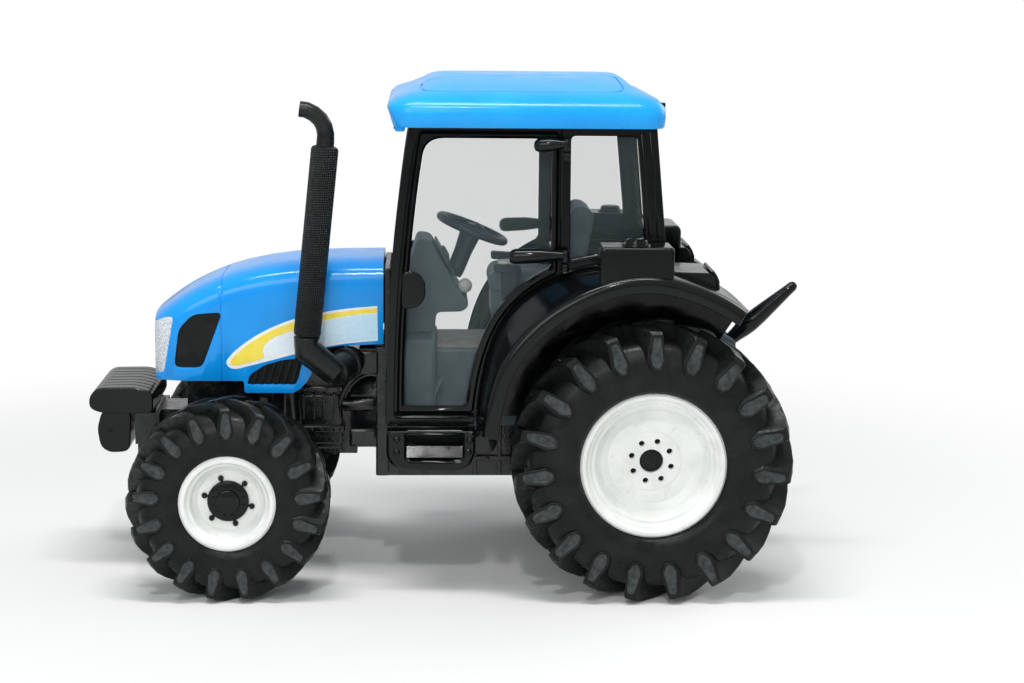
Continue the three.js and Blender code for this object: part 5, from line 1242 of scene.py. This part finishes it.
# Gloss blue ABS, a touch paler than the enamel, with a faint moulding texture.
blue_abs, tree, shader, place = finish_of("gloss_blue_abs", 0x18A4F8, Roughness=0.18, IOR=1.5,
                                          Specular_IOR_Level=0.3)
mottle(tree, shader, place, 9.0, 0x14A0F5, 0x1EA9FA)
polish(tree, shader, place, 4.0, 0.16, 0.28)
grain(tree, shader, place, 1.4, 0.01)


def roof_ring(z, front, rear, side, corner, steps=7):
    """A level outline of the roof, moved in at the front, the rear and the sides, with round corners."""
    low_x, high_x, half = ROOF_REAR + rear, ROOF_FRONT - front, ROOF_HALF - side
    ring = []
    for centre_x, centre_y, first in ((high_x - corner, half - corner, 0), (low_x + corner, half - corner, 90),
                                      (low_x + corner, -half + corner, 180), (high_x - corner, -half + corner, 270)):
        for step in range(steps + 1):
            angle = radians(first + 90 * step / steps)
            ring.append(at(centre_x + corner * cos(angle), centre_y + corner * sin(angle), z))
    return ring


roof = loft("roof_look", [roof_ring(*ring) for ring in (
    (ROOF_FOOT, 1.1, 0.3, 0.6, 3.0), (75.7, 0.95, 0.15, 0.35, 3.1), (77.2, 0.5, 0.0, 0.0, 3.4),
    (78.5, 0.05, 0.02, 0.05, 3.9), (79.0, 0.2, 0.3, 0.3, 4.0), (79.9, 1.2, 1.2, 1.2, 4.0),
    (80.8, 3.8, 3.6, 3.6, 4.0), (81.3, 4.8, 4.3, 5.6, 4.0), (81.8, 5.8, 5.0, 8.0, 4.0),
    (82.3, 6.4, 5.5, 11.0, 4.0), (82.7, 7.0, 6.0, 14.0, 4.0), (82.95, 7.5, 6.5, 16.4, 3.8),
    (83.1, 8.0, 7.0, 18.4, 3.6))], 40)
recess = box_piece("recess", (rear_edge(EAVES) - 0.3, -CAB_HALF - 0.3, 60),
                   (front_edge(EAVES) + 0.3, CAB_HALF + 0.3, FRAME_TOP + 0.3))
cut(roof, recess)


def roof_groove(outline, width, depth):
    """Cuts a groove of an even depth into the roof's top along a closed outline in (x, y)."""
    middle = sum((Vector(spot) for spot in outline), Vector((0, 0))) / len(outline)
    inner = [tuple(Vector(spot) + (middle - Vector(spot)).normalized() * width) for spot in outline]
    groove = level_plate("groove", [outline, inner], ROOF_FOOT + 3, ROOF_FOOT + 9)
    only(roof)
    bpy.ops.object.duplicate()
    floor_of_groove = bpy.context.object
    floor_of_groove.data.transform(Matrix.Translation((0, 0, -depth * MM)))
    cut(groove, floor_of_groove)
    cut(roof, groove)


for side in (1, -1):
    roof_groove(rounded([(4.6, side * 18.6), (37.2, side * 18.6), (37.0, side * 9.0), (5.4, side * 5.0)], 3.0, 5), 0.32,
                0.2)
roof_parts = [roof]
for side in (1, -1):
    roof_parts.append(box_piece("lamp_pod", (39.5, min(side * 14.2, side * 19.7), 74.6),
                                (41.15, max(side * 14.2, side * 19.7), 76.6), 0.35, 3))
roof_parts.append(box_piece("visor", (39.9, -14.6, 75.2), (41.0, 14.6, 76.5), 0.3))
roof = join("roof_look", roof_parts)
soften(roof, 40)
paint(roof, blue_abs, "blue_enamel", "chassis", "roof")

lenses = []
for side in (1, -1):
    lenses.append(box_piece("front_lens", (40.9, min(side * 15.0, side * 19.0), 74.95),
                            (41.32, max(side * 15.0, side * 19.0), 76.15), 0.15))
paint(join("roof_lamp_lenses", lenses), gloss_black, "black_plastic", "chassis")
nubs = []
for side in (1, -1):
    for z, x in ((79.0, -1.35), (75.9, -1.15)):
        nubs.append(rod("nub", at(x + 0.7, side * 18.8, z), at(x - 0.2, side * 18.8, z), 0.42, 0.36, 12, 0.1))
    nubs.append(box_piece("rear_lamp", (-1.75, min(side * 12.5, side * 17.0), 76.6),
                          (-0.8, max(side * 12.5, side * 17.0), 78.5), 0.25))
paint(join("roof_rear_lamps", nubs), gloss_black, "black_plastic", "chassis")

# ---- Cab interior ----
# One grey moulding makes the floor, the tunnel, the bulkhead and the raised step below the seat. The dashboard, the
# steering wheel and the seat are pressed into it.

# Grey polypropylene with a fine matt grain.
grey_plastic, tree, shader, place = finish_of("grey_polypropylene", 0x4E5C61, Roughness=0.45,
                                             Specular_IOR_Level=0.35)
mottle(tree, shader, place, 3.0, 0x48565B, 0x56656A)
polish(tree, shader, place, 1.5, 0.4, 0.6)
grain(tree, shader, place, 0.3, 0.012)

# The same plastic in a darker blue-grey, smoother where it is held.
slate_plastic, tree, shader, place = finish_of("slate_polypropylene", 0x1B2733, Roughness=0.35,
                                              Specular_IOR_Level=0.35)
mottle(tree, shader, place, 2.0, 0x18242F, 0x222F3B)
polish(tree, shader, place, 1.2, 0.32, 0.5)
grain(tree, shader, place, 0.3, 0.01)

# Cream knobs and caps, semi-gloss ABS.
cream_plastic, tree, shader, place = finish_of("cream_abs", 0xC9CCC0, Roughness=0.35)
mottle(tree, shader, place, 1.0, 0xC2C5B8, 0xD2D5CA)
polish(tree, shader, place, 0.8, 0.28, 0.42)

# A warmer grey-beige cover, dull.
beige_plastic, tree, shader, place = finish_of("beige_polypropylene", 0x85827A, Roughness=0.5)
mottle(tree, shader, place, 2.0, 0x7E7B73, 0x8E8B84)
polish(tree, shader, place, 1.2, 0.42, 0.6)
grain(tree, shader, place, 0.3, 0.01)

TUNNEL_TOP = 38.2
SEAT_STEP_TOP = 41.2
tub_parts = [
    box_piece("floor", (12, -12.6, 26), (40.9, 12.6, 28.2), 0.2),
    box_piece("floor_side", (29.2, -18.0, 26.1), (40.8, 18.0, 28.15), 0.2),
    box_piece("tunnel", (12, -8.6, 27.7), (35, 8.6, TUNNEL_TOP), 0.8, 4),
    box_piece("bulkhead", (34.5, -11.5, 27.7), (40.9, 11.5, 40), 0.8, 4),
    box_piece("seat_step", (-0.4, -12.6, 34), (13, 12.6, SEAT_STEP_TOP), 0.8, 4),
    box_piece("rear_wall", (-0.8, -12.6, 40.2), (2.6, 12.6, 52.5), 0.6, 3),
    box_piece("bulkhead_band", (34.2, -8.0, 36.2), (40.8, 8.0, 39.2), 0.3),
]
for side in (-1, 1):
    for turn in range(6):
        tub_parts.append(box_piece("mat_rib", (30.2 + turn * 0.72, min(side * 9.4, side * 17.4), 28.0),
                                   (30.5 + turn * 0.72, max(side * 9.4, side * 17.4), 28.32), 0.08, 1))
    tub_parts.append(plate("pedal", [[(34.4, 30.6), (33.3, 33.2), (33.7, 33.4), (34.9, 30.8)]],
                           *across(side, 9.2, 11.0), 0.15))
    tub_parts.append(rod("pedal_arm", at(34.2, side * 10.1, 32.0), at(36.5, side * 10.1, 34.6), 0.3, 0.3, 10))
tunnel_cover = box_piece("tunnel_cover", (24.6, -8.3, 38.1), (34.3, 8.3, 38.45), 0.12)
paint(tunnel_cover, beige_plastic, "grey_plastic", "chassis")
tub = join("cab_tub_look", tub_parts)
soften(tub, 40)
paint(tub, grey_plastic, "grey_plastic", "chassis", "cab_tub")

dash_outline = [(40.7, 40.3), (34.7, 40.3), (34.4, 43.7), (29.9, 43.8), (28.9, 45), (31.6, 49), (35.4, 55.6),
                (37.6, 55.9), (38.9, 52)]
dash = plate("dashboard", [rounded(dash_outline, 0.8, 3)], -6, 6, 0.55, 3)
dash_parts = [dash]
for side in (-1, 1):
    dash_parts.append(plate("dash_edge", [[(32.0, 49.2), (35.2, 54.7), (35.9, 54.3), (32.8, 48.9)]],
                            *across(side, 5.1, 5.85), 0.2))
dash_parts.append(prism("dash_face", [[at(31.55, -4.2, 49.55), at(31.55, 4.2, 49.55), at(34.75, 3.9, 55.1),
                                       at(34.75, -3.9, 55.1)]], (-0.28, 0, 0.16), 0.12, 1))
for side in (-1, 1):
    dash_parts.append(rod("dial", at(33.05, side * 1.9, 52.75), at(32.6, side * 1.9, 53.0), 1.15, 1.0, 24, 0.1))
dashboard = join("dashboard_look", dash_parts)
soften(dashboard, 40)
paint(dashboard, grey_plastic, "grey_plastic", "chassis", "dashboard")

WHEEL_CENTRE = at(28.4, 0, 57)
WHEEL_RAKE = 0.38
WHEEL_AXIS = Vector((-sin(WHEEL_RAKE), 0, cos(WHEEL_RAKE)))
WHEEL_SIDE = Vector((0, 1, 0))
wheel_parts = [tube("column", [WHEEL_CENTRE - WHEEL_AXIS * 8.4 * MM, WHEEL_CENTRE - WHEEL_AXIS * 7.6 * MM,
                               WHEEL_CENTRE - WHEEL_AXIS * 4.0 * MM, WHEEL_CENTRE - WHEEL_AXIS * 1.4 * MM,
                               WHEEL_CENTRE - WHEEL_AXIS * 0.1 * MM], [1.3, 1.45, 1.5, 1.75, 2.2], (0, 1, 0)),
               rod("boss", WHEEL_CENTRE - WHEEL_AXIS * 0.3 * MM, WHEEL_CENTRE + WHEEL_AXIS * 0.75 * MM, 2.2, 1.7, 32,
                   0.3)]
bpy.ops.object.select_all(action="DESELECT")
bpy.ops.mesh.primitive_torus_add(major_segments=64, minor_segments=14, major_radius=5.7 * MM, minor_radius=0.68 * MM,
                                 location=WHEEL_CENTRE, rotation=WHEEL_AXIS.to_track_quat("Z", "Y").to_euler())
bpy.ops.object.transform_apply(location=True, rotation=True, scale=True)
wheel_parts.append(bpy.context.object)
wheel_across = WHEEL_AXIS.cross(WHEEL_SIDE).normalized()
for turn in range(3):
    angle = tau * turn / 3 + 0.17
    out = WHEEL_SIDE * sin(angle) + wheel_across * -cos(angle)
    wheel_parts.append(tube("spoke", [WHEEL_CENTRE + out * reach * MM + WHEEL_AXIS * rise * MM for reach, rise in
                                      ((1.2, 0.25), (2.6, 0.1), (4.2, -0.05), (5.5, 0.0))],
                            [0.95, 0.75, 0.62, 0.6], WHEEL_AXIS, 12))
steering_wheel = join("steering_wheel_look", wheel_parts)
soften(steering_wheel, 40)
paint(steering_wheel, slate_plastic, "dark_grey_plastic", "chassis", "steering_wheel")

seat_base = plate("seat_base", [rounded([(14.2, 42.4), (15.2, 41.4), (23.8, 38.6), (25.4, 43.4), (25.2, 47.4),
                                         (14.0, 47.2), (10.8, 46.6)], 0.6, 3)], -6.2, 6.2, 0.5, 3)
cushion = plate("seat_cushion", [rounded([(12.2, 47.2), (25.5, 47.3), (25.9, 48.9), (25.2, 50.5), (23.6, 50.9),
                                          (14.0, 49.9)], 1.1, 4)], -6.45, 6.45, 0.7, 4)
back = plate("seat_back", [rounded([(10.6, 46.4), (14.6, 48.4), (12.2, 60.9), (10.4, 61.6), (8.3, 60.4)], 1.2, 4)],
             -6.3, 6.3, 0.8, 4)
pads = [plate("cushion_pad", [[(14.6, 50.0), (24.2, 51.0), (24.4, 50.6), (14.8, 49.6)]], -4.3, 4.3, 0.18),
        plate("back_pad", [[(13.9, 51.0), (12.5, 59.4), (12.9, 59.5), (14.3, 51.2)]], -4.3, 4.3, 0.18)]
seat = join("seat_look", [seat_base, cushion, back] + pads)
soften(seat, 40)
paint(seat, grey_plastic, "grey_plastic", "chassis", "seat")

consoles = []
for side in (1, -1):
    consoles.append(plate("armrest", [rounded([(20.4, 50.6), (25.0, 50.9), (25.0, 52.2), (20.6, 51.9)], 0.4, 3)],
                          *across(side, 6.9, 8.6), 0.3, 3))
    consoles.append(plate("armrest_leg", [[(20.8, 45.0), (23.6, 45.0), (23.8, 51.2), (21.0, 51.2)]],
                          *across(side, 6.3, 7.6), 0.25))
paint(join("armrests", consoles), slate_plastic, "dark_grey_plastic", "chassis")
knobs = []
ball = tube("lever_ball", [at(29.65, 5.0, 46.9 + height) for height in (0.0, 0.12, 0.45, 0.9, 1.35, 1.8, 2.2, 2.38)],
            [0.3, 0.65, 0.98, 1.17, 1.19, 1.0, 0.6, 0.15], (1, 0, 0), 20)
knobs.append(ball)
knobs.append(rod("lever_cap", at(23.2, 7.6, 52.1), at(23.2, 7.6, 52.75), 1.25, 1.1, 20, 0.2))
knobs.append(rod("wheel_cap", WHEEL_CENTRE + WHEEL_AXIS * 0.7 * MM, WHEEL_CENTRE + WHEEL_AXIS * 0.86 * MM, 0.55, 0.45,
                 16, 0.05))
paint(join("knobs", knobs), cream_plastic, "grey_plastic", "chassis")
lever = rod("gear_lever", at(31.2, 5.0, 44.4), at(29.65, 5.0, 47.0), 0.38, 0.3, 12)
paint(lever, slate_plastic, "dark_grey_plastic", "chassis")

# ---- Steps ----
# Gloss black ABS boxes below the doors, each an open frame with chamfered feet, four rivets and three treads,
# the middle one with a sloping face.

STEP_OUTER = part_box("step_left")[1].y / MM
STEP_FOOT = 21.0
STEP_HEAD = 27.3
STEP_OUTLINE = [(42.4, STEP_HEAD), (42.4, 23.4), (41.6, 21.9), (40.2, STEP_FOOT), (30.6, STEP_FOOT), (29.0, 21.9),
                (28.2, 23.8), (28.2, STEP_HEAD)]
step_frame = plate("step_frame", [rounded(STEP_OUTLINE, 0.5, 2)], 22.6, STEP_OUTER)
cut(step_frame, plate("window", [rounded([(39.2, 26.9), (30.3, 26.9), (30.3, 22.7), (39.2, 22.7)], 0.3, 2)], 20, 30))
round_edges(step_frame, 0.4, 1, 40, False)
step_parts = [
    step_frame,
    plate("step_back", [STEP_OUTLINE], 19.0, 19.8, 0.1),
    plate("top_tread", [[(39.4, 26.6), (30.1, 26.6), (30.1, 27.2), (39.4, 27.2)]], 19.4, STEP_OUTER + 0.35, 0.3, 1),
    plate("middle_tread", [[(39.4, 24.5), (30.1, 24.5), (30.1, 25.1), (39.4, 25.1)]], 19.4, STEP_OUTER - 1.4, 0.3, 1),
    prism("tread_face", [[at(30.1, STEP_OUTER - 1.6, 24.85), at(39.4, STEP_OUTER - 1.6, 24.85),
                          at(39.4, STEP_OUTER - 0.5, 22.95), at(30.1, STEP_OUTER - 0.5, 22.95)]],
          (0, -0.45, -0.26), 0.1),
    plate("bottom_tread", [[(39.0, 22.1), (31.4, 22.1), (31.4, 22.7), (39.0, 22.7)]], 19.4, STEP_OUTER + 0.3, 0.3, 1),
    plate("front_cheek", [[(42.3, 23.4), (41.5, 21.8), (41.5, 27.2), (42.3, 27.2)]], 19.2, 23.0, 0.12),
    plate("rear_cheek", [[(29.1, 22.0), (28.3, 23.8), (28.3, 27.2), (29.1, 27.2)]], 19.2, 23.0, 0.12),
    box_piece("step_arm", (30, 6.8, 23.4), (40, 19.6, 25.6), 0.3),
]
for x, z in ((40.75, 26.1), (40.75, 24.0), (29.15, 26.05), (29.35, 24.1)):
    step_parts.append(spun("rivet", [(0, 0.45), (0.2, 0.42), (0.38, 0.32), (0.52, 0.15), (0.6, -0.1), (0.6, -0.5),
                                     (0, -0.5)], at(x, STEP_OUTER, z), 24, False))
left_step = join("step_left_look", step_parts)
soften(left_step, 40)
right_step = mirror(left_step, "step_right_look")
for piece, node in ((left_step, "step_left"), (right_step, "step_right")):
    paint(piece, gloss_black, "black_plastic", "chassis", node)

# ---- Rear linkage ----
# A grey bracket on the back of the gearbox holds a tapered black top link on a pin. The two lower links are flat
# black bars with an eye at each end, and all three pivot.

TOP_PIN_X, TOP_PIN_Z = -14.5, 37.2
LINK_EYE_X, LINK_EYE_Z = -6, 12.2
LINK_BALL_X, LINK_BALL_Z = -27.4, 10.6
bracket_parts = [
    plate("bracket", [rounded([(-13.5, 33.8), (-8.8, 33.8), (-8.8, 44.7), (-12.0, 44.7), (-13.5, 42.2)], 0.7, 3)],
          -3.4, 3.4, 0.35, 3),
]
for side in (-1, 1):
    ear = rounded([(-13.0, 34.6), (-15.9, 35.6), (-16.25, 38.5), (-13.0, 40.2)], 0.9, 4)
    bracket_parts.append(plate("bracket_ear", [ear], *across(side, 1.95, 3.38), 0.25, 3))
    bracket_parts.append(rod("bracket_boss", at(TOP_PIN_X, side * 3.3, TOP_PIN_Z),
                             at(TOP_PIN_X, side * 3.75, TOP_PIN_Z), 1.2, 1.1, 24, 0.12))
bracket = join("link_bracket_look", bracket_parts)
soften(bracket, 40)
paint(bracket, grey_plastic, "grey_plastic", "chassis", "link_bracket")

TOP_PIVOT = at(TOP_PIN_X, 0, TOP_PIN_Z)
TOP_RUN = Vector((-12.1, 0, 10.7)) * MM
top_link = tube("top_link_look", [TOP_PIVOT + TOP_RUN * share for share in
                                  (0, 0.08, 0.17, 0.26, 0.36, 0.5, 0.7, 0.88, 0.955, 0.985, 1.0)],
                [1.0, 1.08, 1.2, 1.45, 1.6, 1.5, 1.2, 0.92, 0.84, 0.6, 0.2], (0, 1, 0), 28)
eye = rod("top_eye", at(TOP_PIN_X, -1.6, TOP_PIN_Z), at(TOP_PIN_X, 1.6, TOP_PIN_Z), 1.05, 1.05, 28, 0.2)
top_link = join("top_link_look", [top_link, eye])
soften(top_link, 40)
paint(top_link, gloss_black, "black_plastic", "top_link", "top_link")

link_bar = plate("link_bar", [rounded([(-6.0, 13.3), (-27.2, 11.4), (-27.2, 9.8), (-6.0, 11.1)], 0.5, 3)], 9.2, 10.8,
                 0.25, 3)
link_parts = [
    link_bar,
    rod("link_eye", at(LINK_EYE_X, 9.05, LINK_EYE_Z), at(LINK_EYE_X, 10.95, LINK_EYE_Z), 1.95, 1.95, 32, 0.2),
    rod("link_ball", at(LINK_BALL_X, 8.85, LINK_BALL_Z), at(LINK_BALL_X, 11.15, LINK_BALL_Z), 1.18, 1.18, 28, 0.35),
    rod("ball_hole", at(LINK_BALL_X, 8.75, LINK_BALL_Z), at(LINK_BALL_X, 11.25, LINK_BALL_Z), 0.55, 0.55, 20, 0.1),
]
for x, z in ((-14.0, 11.9), (-19.5, 11.4)):
    link_parts.append(rod("link_boss", at(x, 8.95, z), at(x, 11.05, z), 0.75, 0.75, 20, 0.12))
left_link = join("lower_link_left_look", link_parts)
# Open fault: only the eye is left after this cut. The bar, the ball end and the bosses are lost.
cut(left_link, rod("pin_hole", at(LINK_EYE_X, 8, LINK_EYE_Z), at(LINK_EYE_X, 12, LINK_EYE_Z), 1.1, 1.1, 32))
soften(left_link, 40)
right_link = mirror(left_link, "lower_link_right_look")
for piece, node in ((left_link, "lower_link_left"), (right_link, "lower_link_right")):
    paint(piece, gloss_black, "black_plastic", "lower_links", node)

# ---- Floor, light and camera ----
# A pale sweep that turns white away from the tractor, four soft lamps, and the camera at its left side.

bpy.ops.object.select_all(action="DESELECT")
bpy.ops.mesh.primitive_plane_add(size=8)
floor = bpy.context.object
floor.name = "floor"
# Matt pale card. Away from the tractor it shows as plain white, and near it takes the light and the shadow.
floor_paint, tree, shader, place = finish_of("pale_floor", 0xF2F2F0, Roughness=0.75)
polish(tree, shader, place, 40.0, 0.7, 0.8)
from_middle = add_node(tree, "ShaderNodeVectorMath", {"operation": "LENGTH"}, links={0: place})
white_share = add_node(tree, "ShaderNodeMapRange", {"interpolation_type": "SMOOTHSTEP"},
                       {"From Min": 0.09, "From Max": 0.2}, {"Value": from_middle.outputs["Value"]})
floor_rays = add_node(tree, "ShaderNodeLightPath")
floor_seen = add_node(tree, "ShaderNodeMath", {"operation": "MAXIMUM"},
                      links={0: floor_rays.outputs["Is Camera Ray"], 1: floor_rays.outputs["Is Transmission Ray"]})
floor_share = add_node(tree, "ShaderNodeMath", {"operation": "MULTIPLY"},
                       links={0: white_share.outputs["Result"], 1: floor_seen.outputs[0]})
floor_white = add_node(tree, "ShaderNodeEmission", inputs={"Color": (1, 1, 1, 1), "Strength": 1.0})
floor_mix = add_node(tree, "ShaderNodeMixShader", links={0: floor_share.outputs[0], 1: shader.outputs[0],
                                                         2: floor_white.outputs[0]})
tree.links.new(floor_mix.outputs[0], tree.nodes["Material Output"].inputs["Surface"])
floor.data.materials.append(floor_paint)

world = bpy.data.worlds.new("studio")
bpy.context.scene.world = world
world.use_nodes = True
tree = world.node_tree
dim = tree.nodes["Background"]
dim.inputs["Color"].default_value = linear(0xE8ECF0)
dim.inputs["Strength"].default_value = 0.45
white = add_node(tree, "ShaderNodeBackground", inputs={"Color": (1, 1, 1, 1), "Strength": 1.0})
rays = add_node(tree, "ShaderNodeLightPath")
looked_at = add_node(tree, "ShaderNodeMath", {"operation": "MAXIMUM"},
                     links={0: rays.outputs["Is Camera Ray"], 1: rays.outputs["Is Transmission Ray"]})
mirrored = add_node(tree, "ShaderNodeMath", {"operation": "MULTIPLY"}, {1: 0.6}, {0: rays.outputs["Is Glossy Ray"]})
seen = add_node(tree, "ShaderNodeMath", {"operation": "MAXIMUM"},
                links={0: looked_at.outputs[0], 1: mirrored.outputs[0]})
swap = add_node(tree, "ShaderNodeMixShader",
                links={0: seen.outputs[0], 1: dim.outputs[0], 2: white.outputs[0]})
tree.links.new(swap.outputs[0], tree.nodes["World Output"].inputs["Surface"])


def soft_lamp(name, place, aim, width, height, power):
    lamp = bpy.data.objects.new(name, bpy.data.lights.new(name, "AREA"))
    bpy.context.scene.collection.objects.link(lamp)
    lamp.data.shape = "RECTANGLE"
    lamp.data.size = width
    lamp.data.size_y = height
    lamp.data.energy = power
    lamp.location = place
    lamp.rotation_euler = (Vector(aim) - Vector(place)).to_track_quat("-Z", "Y").to_euler()


soft_lamp("overhead", (0.02, 0.10, 0.42), (0, 0, 0.04), 0.26, 0.06, 1.0)
soft_lamp("camera_side", (0.13, 0.38, 0.20), (0, 0, 0.04), 0.22, 0.16, 0.36)
soft_lamp("key", (0.03, 0.30, 0.33), (0, 0, 0.04), 0.024, 0.024, 0.32)
soft_lamp("rear_fill", (-0.35, -0.25, 0.22), (0, 0, 0.04), 0.3, 0.2, 0.5)

camera = bpy.data.objects.new("camera", bpy.data.cameras.new("camera"))
bpy.context.scene.collection.objects.link(camera)
bpy.context.scene.camera = camera
CAMERA_AT = Vector((0.00509, 0.3505, 0.0994))
CAMERA_YAW = 0.0428
CAMERA_PITCH = 0.174
CAMERA_ROLL = 0.0098
camera.data.sensor_width = 36
camera.data.lens = 73.83
camera.data.clip_start = 0.01
look = Vector((-sin(CAMERA_YAW) * cos(CAMERA_PITCH), -cos(CAMERA_YAW) * cos(CAMERA_PITCH), -sin(CAMERA_PITCH)))
level_right = look.cross(Vector((0, 0, 1))).normalized()
level_up = level_right.cross(look)
right = level_right * cos(CAMERA_ROLL) + level_up * sin(CAMERA_ROLL)
up = right.cross(look)
camera.matrix_world = Matrix((
    (right.x, up.x, -look.x, CAMERA_AT.x), (right.y, up.y, -look.y, CAMERA_AT.y),
    (right.z, up.z, -look.z, CAMERA_AT.z), (0, 0, 0, 1)))

scene = bpy.context.scene
scene.view_settings.view_transform = "Standard"
